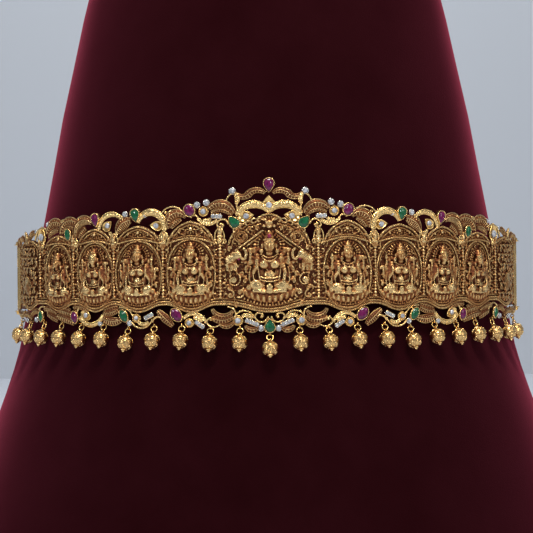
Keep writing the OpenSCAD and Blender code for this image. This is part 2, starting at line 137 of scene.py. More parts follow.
# one cast skin over many overlapping shapes, cut off flat behind; kept is the share of faces left
def castSkin(bm, grain, backAt, kept):
    obj = makeObject("cast", meshFrom(bm, "cast"))
    skin = obj.modifiers.new("skin", "REMESH")
    skin.mode = "VOXEL"
    skin.voxel_size = grain
    skin.use_smooth_shade = True
    soften = obj.modifiers.new("soften", "SMOOTH")
    soften.factor = 0.4
    soften.iterations = 1
    thin = obj.modifiers.new("thin", "DECIMATE")
    thin.ratio = kept
    mesh = solidify(obj)
    bm = bmesh.new()
    bm.from_mesh(mesh)
    bpy.data.meshes.remove(mesh)
    bmesh.ops.bisect_plane(bm, geom=bm.verts[:] + bm.edges[:] + bm.faces[:], plane_co=(0, 0, backAt),
                           plane_no=(0, 0, 1), clear_inner=True)
    bmesh.ops.holes_fill(bm, edges=[e for e in bm.edges if e.is_boundary], sides=0)
    return meshFrom(bm, "cast")

def joinMeshes(name, meshes):
    bm = bmesh.new()
    for mesh in meshes:
        bm.from_mesh(mesh)
        bpy.data.meshes.remove(mesh)
    bmesh.ops.recalc_face_normals(bm, faces=bm.faces)
    mesh = meshFrom(bm, name)
    mesh.polygons.foreach_set("use_smooth", [True] * len(mesh.polygons))
    return mesh

# a piece of the plaque, still flat; lift makes its gold brighter or darker
flatPieces = []
def flatPiece(name, meshes, lift=0):
    obj = makeObject(name, joinMeshes(name, meshes))
    flatPieces.append((obj, lift))
    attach(obj, "root")
    return obj

def vertexArray(mesh, what="co"):
    points = np.empty(len(mesh.vertices) * 3, np.float32)
    mesh.vertices.foreach_get(what, points)
    return points.reshape(-1, 3).astype(float)

def giveTone(mesh, tone):
    layer = mesh.attributes.new("tone", "FLOAT", "POINT")
    layer.data.foreach_set("value", tone.astype(np.float32))

# height map of the whole relief: a point above its surroundings is painted bright and one below them dark; this is
# partly patina in the hollows and wear on the high points, and partly painted shade in the recesses and painted
# highlight on the tops
relief = {"cell": 0.52, "halfLength": 192, "low": -42, "high": 48, "floor": 0.9, "fine": 2, "coarse": 11,
          "base": 0.35, "small": 0.75, "broad": 0.16, "facing": 0.36, "steepest": 0.55,
          "smallRange": (-0.5, 0.35), "broadRange": (-1.4, 0.4)}

def softened(height, turns):
    for axis in (0, 1) * turns:
        height = (np.roll(height, 1, axis) + height + np.roll(height, -1, axis)) / 3
    return height

# gives each flat piece its tone, patina and wear mixed with painted shade and highlight, and bends it round the loop
def bendPieces():
    cell = relief["cell"]
    wide = int(2 * relief["halfLength"] / cell)
    tall = int((relief["high"] - relief["low"]) / cell)
    height = np.full((wide, tall), relief["floor"])
    rows = []
    for obj, lift in flatPieces:
        points = vertexArray(obj.data)
        i = np.clip(((points[:, 0] + relief["halfLength"]) / cell).astype(int), 0, wide - 1)
        j = np.clip(((points[:, 1] - relief["low"]) / cell).astype(int), 0, tall - 1)
        np.maximum.at(height, (i, j), points[:, 2])
        rows.append((obj, lift, points, i, j))
    fine, coarse = softened(height, relief["fine"]), softened(height, relief["coarse"])
    for obj, lift, points, i, j in rows:
        small = np.clip(points[:, 2] - fine[i, j], *relief["smallRange"])
        broad = np.clip(points[:, 2] - coarse[i, j], *relief["broadRange"])
        # painted shade: steep sides turned away from the front are made darker, faces turned to the front brighter
        facing = vertexArray(obj.data, "normal")[:, 2] - relief["steepest"]
        tone = relief["base"] + relief["small"] * small + relief["broad"] * broad + relief["facing"] * facing + lift
        giveTone(obj.data, np.clip(tone, 0, 1))
        bent = onLoop(points[:, 0], points[:, 1], points[:, 2])
        obj.data.vertices.foreach_set("co", bent.astype(np.float32).ravel())
        obj.data.update()

# arches: place along the belt, half width, height of the peak, size of the figure
arches = {
    "middle": (0, 22.6, 28, 1.08),
    "side": [(41.2, 13.6, 24.5, 0.93), (71, 14.3, 22.5, 0.9), (98.7, 12.6, 21.5, 0.86),
             (126, 11.8, 18.5, 0.8), (155.5, 12.5, 16.5, 0.75)],
    "spring": 12, "valley": 11.5, "border": -19, "dip": 4, "shoulder": 0.93, "thick": 0.9,
    "notch": (2.6, 0.33, 0.1),  # depth, place and width of the dip on each side of the middle peak
    "innerUp": 0.6, "innerRise": 0.22, "nicheTop": 0.9, "nicheSide": 0.7, "nicheLow": -21.9,
    "end": 184.6, "stripTop": 12.6, "stripLow": -23.6, "stripFrom": 166, "plainFrom": 150, "cells": (360, 10),
}
allArches = [(-s, *rest) for s, *rest in reversed(arches["side"])] + [arches["middle"]] + arches["side"]

def archTop(peak, u):
    across = min(1, abs(u) / arches["shoulder"])
    rise = 0.86 * (1 - across ** 2.3) ** 0.62 + 0.14 * (1 - across) ** 1.5
    height = arches["spring"] + (peak - arches["spring"]) * rise
    if peak == arches["middle"][2]:
        depth, at, wide = arches["notch"]
        height -= depth * math.exp(-((abs(u) - at) / wide) ** 2)
    return height

def innerTop(peak, u):
    bend = math.cos(math.pi / 2 * min(1, abs(u) / arches["shoulder"]))
    return arches["spring"] + arches["innerUp"] + (peak - arches["spring"]) * arches["innerRise"] * bend

def borderLow(u):
    return arches["border"] - arches["dip"] * math.cos(math.pi / 2 * u) ** 2

def plateEdges(s):
    if abs(s) > arches["stripFrom"]:
        return arches["stripLow"], arches["stripTop"]
    for s0, a, peak, size in allArches:
        if abs(s - s0) <= a:
            u = (s - s0) / a
            return borderLow(u), max(archTop(peak, u), arches["valley"])
    return arches["border"] - 0.1, arches["valley"] + 1

def plate():
    bm = bmesh.new()
    across, up = arches["cells"]
    bmesh.ops.create_grid(bm, x_segments=across, y_segments=up, size=1)
    for v in bm.verts:
        s = v.co.x * arches["end"]
        low, top = plateEdges(s)
        v.co = (s, low + (top - low) * (v.co.y + 1) / 2, arches["thick"])
    made = bmesh.ops.extrude_face_region(bm, geom=bm.faces[:])
    for v in made["geom"]:
        if isinstance(v, bmesh.types.BMVert):
            v.co.z = 0
    return meshFrom(bm, "plate")

# ropes: radius, height over the velvet side and pitch of the twist
ropes = {"step": 0.46, "strand": 0.54, "apart": 0.6,
         "border": (0.75, 1.9, 1.9), "outer": (0.68, 2.1, 1.9), "frame": (0.68, 2.0, 1.9), "canopy": (0.68, 2.6, 1.9),
         "second": (0.5, 2.0, 1.5), "inside": (0.5, 1.8, 1.5), "oval": (0.5, 1.6, 1.5), "low": (0.5, 2.2, 1.5),
         "ring": (0.5, 2.3, 1.5), "borderInner": (0.5, 1.9, 1.9), "outerIn": 0.6, "secondIn": 1.5,
         "borderUp": ((-0.5, "border"), (0.8, "border"), (2.3, "borderInner"))}

def evenSteps(points, step):
    result = [points[0]]
    left = step
    for a, b in zip(points, points[1:]):
        size = math.dist(a, b)
        t = left
        while t <= size:
            result.append((a[0] + (b[0] - a[0]) * t / size, a[1] + (b[1] - a[1]) * t / size))
            t += step
        left = t - size
    return result

# two strands twisted round a path of x, y points
def rope(points, kind):
    radius, n, pitch = ropes[kind]
    path = evenSteps(points, ropes["step"])
    strands = [[], []]
    travelled = 0
    for i, (x, y) in enumerate(path):
        before, after = path[max(i - 1, 0)], path[min(i + 1, len(path) - 1)]
        dx, dy = after[0] - before[0], after[1] - before[1]
        size = math.hypot(dx, dy) or 1
        if i:
            travelled += math.dist(path[i], path[i - 1])
        for k in (0, 1):
            turn = 2 * math.pi * travelled / pitch + math.pi * k
            out, up = ropes["apart"] * radius * math.cos(turn), ropes["apart"] * radius * math.sin(turn)
            strands[k].append((x - dy / size * out, y + dx / size * out, n + up, ropes["strand"] * radius))
    return strands

def nicheOval(arch, grow):
    s0, a, peak, size = arch
    top, low = innerTop(peak, 0) - arches["nicheTop"], arches["nicheLow"]
    wide, tall = a - arches["nicheSide"] + grow, (top - low) / 2 + grow
    def squared(value):
        return math.copysign(abs(value) ** 0.9, value)
    return [(s0 + wide * squared(math.sin(t)), (top + low) / 2 + tall * squared(math.cos(t)))
            for t in np.linspace(0, 2 * math.pi, 90)]

# what only the middle panel has: a canopy, a round medallion and a wing on each side
middlePanel = {"canopy": [(3.2, 19), (6, 17), (10, 14), (15, 10.2), (20.4, 6.2)],
               "low": [(4, 16.6), (8, 13.6), (12, 10.5), (18, 6.2)],
               "medallion": (14.6, 15.6, (3.4, 2.3), 0.82)}

def archRopes():
    thick, thin = [], []
    shoulder = arches["shoulder"]
    for arch in allArches:
        s0, a, peak, size = arch
        outer = [(s0 + shoulder * a * math.sin(t), archTop(peak, shoulder * math.sin(t)) - ropes["outerIn"])
                 for t in np.linspace(-math.pi / 2, math.pi / 2, 80)]
        thick += rope(outer, "outer")
        inwards = ropes["secondIn"]
        thin += rope([(s0 + (x - s0) * (1 - inwards / a), y - inwards) for x, y in outer[3:-3]], "second")
        if abs(s0) > arches["plainFrom"]:
            continue
        if s0:
            thick += rope([(s0 + u * a, innerTop(peak, u)) for u in np.linspace(-0.92, 0.92, 50)], "outer")
            thin += rope([(s0 + u * a, innerTop(peak, u) + 1.2) for u in np.linspace(-0.86, 0.86, 50)], "inside")
            thick += rope(nicheOval(arch, 0), "frame")
            thin += rope(nicheOval(arch, -1.3), "oval")
            continue
        for side in bothWays:
            thick += rope([(side * x, y) for x, y in middlePanel["canopy"]], "canopy")
            thin += rope([(side * x, y) for x, y in middlePanel["low"]], "low")
            x, y, radii, flat = middlePanel["medallion"]
            for radius in radii:
                thin += rope([(side * x + radius * math.sin(t), y + radius * flat * math.cos(t))
                              for t in np.linspace(0, 2 * math.pi, 40)], "ring")
            thick += rope([(side * (20.2 - 2.2 * u * u), -5 + 12 * u) for u in np.linspace(-1.05, 1.05, 30)], "frame")
    for up, kind in ropes["borderUp"]:
        strands = rope([(s0 + u * a, borderLow(u) + up) for s0, a, peak, size in allArches
                        for u in np.linspace(-1, 0.97, 40)], kind)
        (thick if kind == "border" else thin).extend(strands)
    return wires(thick, sides=0), wires(thin, sides=0)

# small curls that fill the crescents and the spaces round the figures
def curl(x, y, n, size, turn, hand=1, thick=0.34, steps=12):
    stroke = []
    start = math.radians(turn)
    cx, cy = (x + size * 0.35 * math.cos(start + 2.4 * hand), y + size * 0.35 * math.sin(start + 2.4 * hand))
    for i in range(steps + 1):
        t = i / steps
        r = size * (1 - 0.72 * t)
        a = start + hand * 3.9 * t
        swell = 0.7 + 0.5 * math.sin(math.pi * t) + 0.5 * t ** 4
        stroke.append((cx + r * math.cos(a), cy + r * math.sin(a), n + 0.3 * t, thick * swell))
    return stroke

def rosette(bm, x, y):
    ball(bm, (x, y, 2.1), (1.15, 1.15, 1.0))
    for j in range(8):
        t = math.pi / 4 * j
        ball(bm, (x + 1.8 * math.cos(t), y + 1.8 * math.sin(t), 1.8), (0.85, 0.5, 0.7), 45 * j, 1)

def crescents():
    strokes = []
    bm = bmesh.new()
    for s0, a, peak, size in allArches:
        big = s0 == 0
        most, spread = (4, 4.9) if big else (2, 2.9)
        for i in range(-most, most + 1):
            u = i / spread
            x = s0 + u * a
            low = 15.5 if big else innerTop(peak, u) + 1.6
            top = archTop(peak, u) - 2.4
            middle, room = (low + top) / 2, max(0.9, min(2.6, (top - low) / 2))
            if i == 0:
                if not big:
                    rosette(bm, x, middle + 0.4)
                continue
            side = 1 if i > 0 else -1
            strokes.append(curl(x, middle, 1.9, room, 90 + 60 * side, -side, 0.46, 16))
            strokes.append(curl(x + 0.5 * side, middle - 0.2, 1.8, room * 0.55, -90, side, 0.36))
            strokes.append([(x + side * (-1.5 + 1.7 * v), middle - room + 0.4 + 0.5 * v * v, 1.8, 0.42 - 0.2 * v)
                            for v in np.linspace(0, 1.6, 7)])
            for j in range(3):
                ball(bm, (x - side * (1.7 + 0.1 * j), middle + (j - 1) * 0.95, 1.8), (0.48, 0.48, 0.5), 0, 1)
    return [wires(strokes, sides=1), meshFrom(bm, "crescentBeads")]

ground = {"from": 0.8, "to": 176, "column": 2.4, "row": 2.2, "sizes": (1.0, 1.4), "thick": 0.38, "beads": 0.6}

def groundCurls(side):
    strokes = []
    bm = bmesh.new()
    s = ground["from"]
    column = 0
    while s < ground["to"]:
        low, top = plateEdges(s)
        y = low + 2.6 + (column % 2) * 0.9
        while y < top - 2.4:
            at = side * (s + dice.uniform(-0.3, 0.3))
            size = dice.uniform(*ground["sizes"])
            strokes.append(curl(at, y, 1.25, size, dice.uniform(0, 360), dice.choice(bothWays), ground["thick"], 7))
            if dice.random() < ground["beads"]:
                ball(bm, (at + 1.05, y + 0.9, 1.3), (0.5, 0.42, 0.5), 0, 1)
            y += ground["row"]
        s += ground["column"]
        column += 1
    return [wires(strokes, sides=0), meshFrom(bm, "groundBeads")]

# columns of buds and beads between the niches; the two beside the middle panel are taller
budColumn = {"tall": 15, "tallInner": 18, "aside": 2, "low": -17, "beadStep": 1.7, "n": 1.9, "grain": 0.32}

def columns():
    bm = bmesh.new()
    strokes = []
    for s0, a, peak, size in allArches[6:] + allArches[:5]:
        side = 1 if s0 > 0 else -1
        inner = abs(s0) == arches["side"][0][0]
        s = s0 - side * (a + budColumn["aside"] if inner else a)
        tall = budColumn["tallInner" if inner else "tall"]
        balls(bm, [(s, tall + 2.6, 2.1, 0.9, 1.1, 0.9), (s, tall + 0.4, 2.0, 1.5, 1.9, 1.3),
                   (s, tall - 2.0, 2.0, 1.9, 1.0, 1.2)])
        balls(bm, [(s + 0.75 * i, tall - 3.4 - 0.12 * i * i, 1.9, 0.5, 1.0, 0.7, -8 * i) for i in range(-2, 3)], 1, 1)
        y = tall - 5.2
        row = 0
        while y > budColumn["low"]:
            wide = 0.7 if abs(y + 3) < 7 and not inner else 1.1
            ball(bm, (s, y, budColumn["n"]), (wide, 0.75, 0.85))
            if row % 2:
                balls(bm, [(s + k * (wide + 0.5), y, 1.6, 0.5, 0.5, 0.6) for k in bothWays], 1, 1)
            y -= budColumn["beadStep"]
            row += 1
        for hand in bothWays:
            strokes += [curl(s + hand * 1.7, tall - 4.6, 1.8, 1.5, 90, -hand, 0.4),
                        curl(s + hand * 2.1, -15.2, 1.7, 1.7, -90, hand, 0.42),
                        curl(s + hand * 1.8, 8.2, 1.7, 1.3, -90, hand, 0.38)]
            if inner:
                strokes += [curl(s + hand * 1.9, 5.6 - 3.1 * j, 1.7, 1.35, 90 * hand + 30 * j, hand, 0.42)
                            for j in range(6)]
    return [castSkin(bm, budColumn["grain"], 0.5, 0.45), wires(strokes, sides=1)]

# seated figure on a lotus, drawn 36 units high and then scaled into its niche
figure = {
    "low": -21.2, "depth": 0.74, "grain": 0.3, "middleGrain": 0.27, "kept": 0.42, "backAt": 0.6,
    "halfWide": 11.8, "edge": 1.6, "foliageTall": 0.98,
    "middles": [  # waist cloth, waist, chest, pendant, neck, head, jaw, nose, mouth, crown
        (0, 9.8, 4.2, 1.7, 1.8, 1.3), (0, 15, 2.2, 3, 3.4, 1.9), (0, 21.6, 2.2, 4.9, 3.6, 2.1),
        (0, 22.2, 5.2, 0.8, 0.8, 0.7), (0, 26, 2.9, 1.8, 1.5, 1.6), (0, 30.2, 3.2, 3.1, 3.7, 2.7),
        (0, 28.4, 3.9, 2.2, 1.9, 1.8), (0, 29.6, 6, 0.45, 1, 0.65), (0, 28, 5.7, 0.85, 0.32, 0.4),
        (0, 32.8, 3.12, 3.1, 0.8, 2.325), (0, 34, 3, 2.5, 1, 1.875), (0, 35.3, 2.87, 1.8, 0.9, 1.35),
        (0, 36.4, 2.76, 1.1, 0.8, 0.825)],
    "pairs": [  # thighs, knees, feet, chest, shoulders, shoulder buds, eyes, ears, earrings, cheeks, armlets
        (6.2, 10.7, 2.6, 3.4, 2.9, 2.3, 12), (9.6, 9.6, 2, 1.7, 1.9, 1.7), (-2.8, 7.3, 4.3, 1.5, 0.75, 0.8),
        (2.55, 20.6, 4, 2.3, 2.2, 1.9), (5.6, 23.4, 2.4, 1.8, 1.6, 1.6), (5.6, 25.2, 2.4, 1.1, 0.9, 1.1),
        (1.25, 30.4, 5.55, 0.8, 0.36, 0.45), (3.3, 29.6, 3, 0.7, 1.4, 0.8), (3.7, 27.2, 3.1, 1.1, 1.1, 1),
        (3.9, 25.6, 3.3, 0.6, 0.6, 0.6), (1.5, 28.6, 5.2, 0.8, 0.7, 0.5), (6.1, 20.6, 3, 1.55, 0.34, 1.5, 20),
        (6.45, 19.6, 3, 1.47, 0.34, 1.5, 20), (6.94, 18.2, 3, 1.358, 0.34, 1.5, 20)],
    "hands": [(-5.9, 21.2, 4.9, 0.95, 1.5, 0.6, -8), (6.8, 12.2, 4.6, 0.95, 1.3, 0.6, 8)],
    "limbs": [((-7.5, 17, 3), (-6, 19.6, 4.7), 1.05, 0.75), ((7.5, 17, 3), (6.8, 13.4, 4.3), 1.05, 0.75)],
    "limbPairs": [  # shins, brows, upper arms
        ((8, 8, 3.2), (-1.2, 7.6, 4.2), 1, 0.8), ((0.45, 31.3, 5.7), (2.2, 31.1, 5.1), 0.22, 0.18, 6),
        ((5.3, 22.6, 2.7), (7.5, 17, 3), 1.35, 1.05)],
    "chains": [  # three points, bead size and number of beads
        ((-3.9, 14.6, 3.9), (0, 13, 5.6), (3.9, 14.6, 3.9), 0.62, 9),
        ((-4.3, 13.2, 3.8), (0, 11.6, 6), (4.3, 13.2, 3.8), 0.5, 13),
        ((-2.9, 25, 3.8), (0, 22.6, 5.4), (2.9, 25, 3.8), 0.45, 9),
        ((-3.6, 24.4, 4), (0, 20, 6.8), (3.6, 24.4, 4), 0.42, 13),
        ((-1.6, 18.8, 4.4), (0, 15.4, 6), (1.6, 18.8, 4.4), 0.34, 9)],
    "chainPairs": [
        ((5.2, 24, 3.9), (5.6, 17, 4.6), (4.4, 13.2, 4), 0.46, 13),
        ((6.4, 23.6, 3.2), (8.4, 17, 3.2), (7.4, 13.4, 3.4), 0.5, 11),
        ((8.8, 19.4, 3), (10.3, 15, 3), (9, 11.4, 3), 0.5, 9)],
    # x, y, radius, turn, hand of the scrolls around the figure, and x, y, radius of those the middle one adds
    "scrolls": [(8.6, 22.6, 1.9, 90, 1), (10.6, 18.6, 1.7, 200, -1), (9.4, 15.4, 1.5, 60, 1),
                (11.4, 12.6, 1.3, 150, -1), (7.8, 27.2, 1.5, 20, 1), (5.6, 18.2, 1.2, 270, -1),
                (12, 21.8, 1.2, 0, 1), (11.9, 8.2, 1.2, 60, -1)],
    "middleScrolls": [(15.6, 19.6, 1.5), (19.2, 20.4, 1.3), (13.4, 31.6, 1.5), (11.2, 34.2, 1.4),
                      (18.6, 28.6, 1.3), (19.6, 9.6, 1.4), (13, 16.2, 1.3), (15.6, 1.6, 1.3)],
}

def lotusSeat(bm):
    for i in range(-4, 5):
        x = i * 2.8
        sag = 0.022 * x * x
        balls(bm, [(x, 4.3 + sag, 1.9 - sag * 0.2, 1.3, 2.5, 1.4, -i * 5)])
        balls(bm, [(x, 4.6 + sag, 3.2 - sag * 0.2, 0.55, 1.5, 0.6, -i * 5)], 1, 1)
        if i < 4:
            balls(bm, [(x + 1.4, 6.2 + sag, 1.7 - sag * 0.2, 1.05, 1.9, 1.2, -i * 5)])
            balls(bm, [(x + 1.4, 2.0 + sag, 1.6, 0.6, 1.0, 1.0)], 1, 1)
    for i in range(-8, 9):
        x = i * 1.5
        balls(bm, [(x, 0.9 + 0.022 * x * x, 1.8, 0.68, 0.78, 0.8),
                   (x + 0.75, -0.6 + 0.02 * x * x, 1.3, 0.55, 0.6, 0.6)], 1, 1)

def chain(bm, points, size, count, side=1):
    a, b, c = (Vector((side * x, y, z)) for x, y, z in points)
    for i in range(count + 1):
        t = i / count
        bead(bm, *(a * (1 - t) ** 2 + b * 2 * t * (1 - t) + c * t * t), size)

# folds of the skirt, the sash and the row of beads over the brow
def folds(bm):
    for side in bothWays:
        for j in range(4):
            a = math.radians(35 + 36 * j)
            limbs(bm, [((6.4, 9.4, 4.7), (6.2 + 2.3 * math.cos(a), 10.7 + 2.0 * math.sin(a), 4.0), 0.34, 0.3, 6),
                       ((3.2 + 0.6 * j, 18.8 - 0.6 * j, 1.9), (2.9 + 0.75 * j, 11.6, 2.2), 0.42, 0.46, 6)], side)
        balls(bm, [(2.6, y, 2.9, 1.1, 0.8, 1.2, 25) for y in (8.9, 10.4, 11.9)], side, 1)
    limbs(bm, [((0.3 * j, 10.4, 5.2), (0.75 * j, 6.6 + 0.2 * j * j, 4.4), 0.26, 0.32, 6) for j in range(-2, 3)])
    for i in range(-3, 4):
        balls(bm, [(i * 0.9, 33.0 - 0.05 * i * i, 5.4 - 0.14 * i * i, 0.42, 0.5, 0.4),
                   (i * 0.7, 34.6 - 0.06 * i * i, 5.0 - 0.16 * i * i, 0.34, 0.5, 0.4)], 1, 1)

def halo(bm):
    for i in range(-8, 9):
        turn = 90 - i * 14.5
        x, y = math.cos(math.radians(turn)), math.sin(math.radians(turn))
        balls(bm, [(5.4 * x, 30 + 5.2 * y, 1.8, 0.6, 0.6, 0.7),
                   (7.0 * x, 30 + 6.6 * y, 1.5, 1.15, 0.72, 0.85, turn)], 1, 1)

# C-shaped scroll of shrinking beads, with a bud in its middle
def scrollBoss(bm, x, y, radius, turn, hand, n=2.1):
    for i in range(13):
        t = i / 12
        a = math.radians(turn) + hand * 4.2 * t
        r = radius * (1 - 0.5 * t)
        size = 0.62 - 0.2 * t
        ball(bm, (x + r * math.cos(a), y + r * math.sin(a), n + 0.3 * t), (size, size, size + 0.1), 0, 1)
    ball(bm, (x, y, n), (0.5 * radius, 0.5 * radius, 0.6), 0, 1)

# things held in the upper hands
def lotusFlower(bm, x, y, z):
    ball(bm, (x, y, z), (0.9, 1.1, 0.9))
    balls(bm, [(x + 0.75 * i, y + 0.5 - 0.16 * i * i, z - 0.05, 0.5, 1.2, 0.55, -22 * i) for i in range(-2, 3)], 1, 1)

def waterPot(bm, x, y, z):
    balls(bm, [(x, y, z, 1.4, 1.3, 1.1), (x, y + 1.6, z, 0.8, 0.5, 0.7), (x, y + 2.3, z, 0.45, 0.6, 0.4)])

def ringedClub(bm, x, y, z):
    limb(bm, (x, y - 1.6, z), (x, y + 1.2, z), 0.4, 0.5)
    balls(bm, [(x, y + 0.8 + 0.9 * i, z, 1.2 - 0.3 * i, 0.6, 0.9 - 0.2 * i) for i in range(3)])

# what is held and how many pairs of upper arms, from the middle panel outwards
heldThings = [((lotusFlower, lotusFlower), 1), ((waterPot, lotusFlower), 1), ((ringedClub, lotusFlower), 2),
              ((lotusFlower, ringedClub), 2), ((lotusFlower, waterPot), 1)]

def upperArms(bm, held, pairs):
    for side in bothWays:
        for pair in range(pairs):
            elbow = (9.4 + 0.8 * pair, 20.9 - 4.6 * pair, 1.9)
            x, y = 9.0 + 2.2 * pair, 25.4 - 5.0 * pair
            limbs(bm, [((5.3, 23.0, 1.9), elbow, 1.1, 0.85), (elbow, (x, y, 2.5), 0.85, 0.65)], side)
            balls(bm, [(x, y + 0.4, 2.7, 0.85, 0.9, 0.7), (x, y - 1.1, 2.5, 0.95, 0.4, 0.95)], side)
            held[(pair + (side > 0)) % len(held)](bm, side * (x + 0.2), y + 2.1, 2.6)
    limbs(bm, [((-6.5 + 0.42 * j, 21.6, 5.0), (-6.6 + 0.44 * j, 23.2 - 0.12 * abs(j - 1.5), 5.0), 0.27, 0.22, 6)
               for j in range(4)])

def seatedFigure(bm, held, pairs):
    lotusSeat(bm)
    balls(bm, figure["middles"] + figure["hands"])
    limbs(bm, figure["limbs"])
    for *points, size, count in figure["chains"]:
        chain(bm, points, size, count)
    for side in bothWays:
        balls(bm, figure["pairs"], side)
        limbs(bm, figure["limbPairs"], side)
        for *points, size, count in figure["chainPairs"]:
            chain(bm, points, size, count, side)
    folds(bm)
    halo(bm)
    upperArms(bm, held, pairs)

elephant = {
    "balls": [(18.2, 23, 2.2, 3.1, 3, 2.1), (15.2, 25.2, 3.1, 2.1, 2.3, 1.8), (15.6, 27.4, 3, 1.2, 0.9, 1.2),
              (17, 24.6, 4, 1.1, 1.7, 0.6, 15)],
    "trunk": [(13.9, 24.6, 3.6), (12.6, 23.2, 3.6), (11.5, 23.6, 3.6), (10.9, 25.4, 3.6), (11.2, 27.4, 3.6),
              (12.2, 28.4, 3.6)],
    "legs": (16.2, 18.1, 20),
}

def elephantBeside(bm, side):
    balls(bm, elephant["balls"], side)
    trunk = elephant["trunk"]
    limbs(bm, [(a, b, 0.8, 0.66) for a, b in zip(trunk, trunk[1:])], side)
    for x in elephant["legs"]:
        limbs(bm, [((x, 21.4, 2.8), (x, 18.2, 2.6), 0.85, 0.75)], side)
        balls(bm, [(x, 18.0, 2.7, 0.95, 0.6, 0.9)], side, 1)
    for j in range(7):
        a = math.radians(40 + 40 * j)
        balls(bm, [(17.0 + 1.3 * math.cos(a), 24.6 + 1.9 * math.sin(a), 4.3, 0.42, 0.42, 0.4)], side, 1)
    for j in range(6):
        bead(bm, side * (16.8 + 0.85 * j), 21.6 - 0.12 * (j - 2) ** 2, 4.3 - 0.25 * abs(j - 2), 0.45)
        limbs(bm, [((17.2 + 0.7 * j, 24.4 - 0.3 * j, 4.0 - 0.2 * j), (17.0 + 0.75 * j, 22.2, 4.3 - 0.22 * j),
                    0.24, 0.24, 6)], side)
    for j in range(5):
        bead(bm, side * (17.6 + 0.9 * j), 25.2 - 0.4 * j, 3.8 - 0.3 * j, 0.4)

# standing attendant at x, y; heights and widths are shares of its height
def attendant(bm, x, y, tall):
    for up, wide, high, z, deep in ((0.86, 0.12, 0.13, 2.5, 1.0), (0.98, 0.08, 0.07, 2.3, 0.8),
                                    (0.62, 0.15, 0.15, 2.2, 1.1), (0.42, 0.16, 0.12, 2.1, 1.0)):
        ball(bm, (x, y + up * tall, z), (wide * tall, high * tall, deep))
    for side in bothWays:
        def at(out, up, z):
            return x + side * out * tall, y + up * tall, z
        limb(bm, at(0.08, 0.38, 2.1), at(0.1, 0, 2.0), 0.08 * tall, 0.06 * tall)
        limb(bm, at(0.16, 0.68, 2.2), at(0.02, 0.5, 3.2), 0.055 * tall, 0.05 * tall)
        ball(bm, at(0.12, 0.84, 2.2), (0.035 * tall, 0.06 * tall, 0.7), 0, 1)

def leafSprays(bm, side):
    for j in range(7):
        a = math.radians(6 + 13.5 * j)
        x, y = 11.4 * abs(math.cos(a)) ** 0.8 + 0.4, 12.5 + 15.5 * math.sin(a)
        for turn in (-42, 0, 42):
            ball(bm, (side * (x + 0.9 * math.sin(math.radians(turn))), y + 0.5, 1.7), (0.5, 1.25, 0.75),
                 -side * 30 + turn, 1)
        balls(bm, [(x, y - 0.6, 2.0, 0.62, 0.62, 0.7)], side, 1)

# plumes of leaves that fill the two outermost panels
def foliage(bm):
    for row in range(6):
        y = 2.5 + 5.6 * row
        for j in range(-2, 3):
            x = 4.6 * j + (2.3 if row % 2 else 0)
            if abs(x) < 11.5 - 0.02 * row ** 3:
                scrollBoss(bm, x, y, 2.1 - 0.1 * abs(j), 60 * j + 100 * row, 1 if (row + j) % 2 else -1, 1.9)
                balls(bm, [(x + 1.6 * math.sin(math.radians(turn)), y + 2.6, 2.1, 0.5, 1.3, 0.8, -turn)
                           for turn in (-50, 0, 50)], 1, 1)
    limbs(bm, [((-1 + 0.9 * j, 6 + 0.5 * j, 3.0), (-6 + 1.2 * j, 17 - 0.3 * (j - 4) ** 2, 3.4), 0.42, 0.3, 6)
               for j in range(9)])

# beside the middle figure: small scrolls, an elephant and large scrolls, one of them with leaves round it
def middleSide(bm, side):
    for x, y, radius in figure["middleScrolls"]:
        scrollBoss(bm, side * x, y, radius, dice.uniform(0, 360), side, 1.8)
    elephantBeside(bm, side)
    scrollBoss(bm, side * 17.2, 13.2, 3.7, 60, side, 2.6)
    scrollBoss(bm, side * 14.2, 7.0, 2.4, 240, -side, 2.4)
    scrollBoss(bm, side * 18.9, 6.2, 2.2, 100, side, 2.2)
    for j in range(5):
        aim = 150 - 42 * j
        x, y = 17.2 + 4.9 * math.cos(math.radians(aim)), 13.2 + 4.7 * math.sin(math.radians(aim))
        balls(bm, [(x, y, 2.0, 1.1, 0.65, 0.8, aim)], side, 1)

def figures():
    meshes = []
    for index, (s0, a, peak, size) in enumerate(allArches):
        bm = bmesh.new()
        fromMiddle = abs(index - 5)
        wide, tall, grain = (a - figure["edge"]) / figure["halfWide"], size, figure["grain"]
        if fromMiddle == 5:
            foliage(bm)
            tall = figure["foliageTall"]
        else:
            wide = min(size, wide)
            seatedFigure(bm, *heldThings[fromMiddle])
            for side in bothWays:
                leafSprays(bm, side)
                for x, y, radius, turn, hand in figure["scrolls"]:
                    scrollBoss(bm, side * x, y, radius, 90 + side * (turn - 90), side * hand)
                if fromMiddle == 0:
                    middleSide(bm, side)
                    grain = figure["middleGrain"]
                elif index % 2 == 0:
                    attendant(bm, side * 9.8, 6.0, 8.5)
        mirror = -1 if s0 < 0 else 1
        place = (Matrix.Translation((s0, figure["low"], arches["thick"]))
                 @ Matrix.Diagonal((mirror * wide, tall, figure["depth"], 1)))
        bmesh.ops.transform(bm, matrix=place, verts=bm.verts)
        bmesh.ops.recalc_face_normals(bm, faces=bm.faces)
        meshes.append(castSkin(bm, grain, figure["backAt"], figure["kept"]))
    return meshes

print("shapes ready")

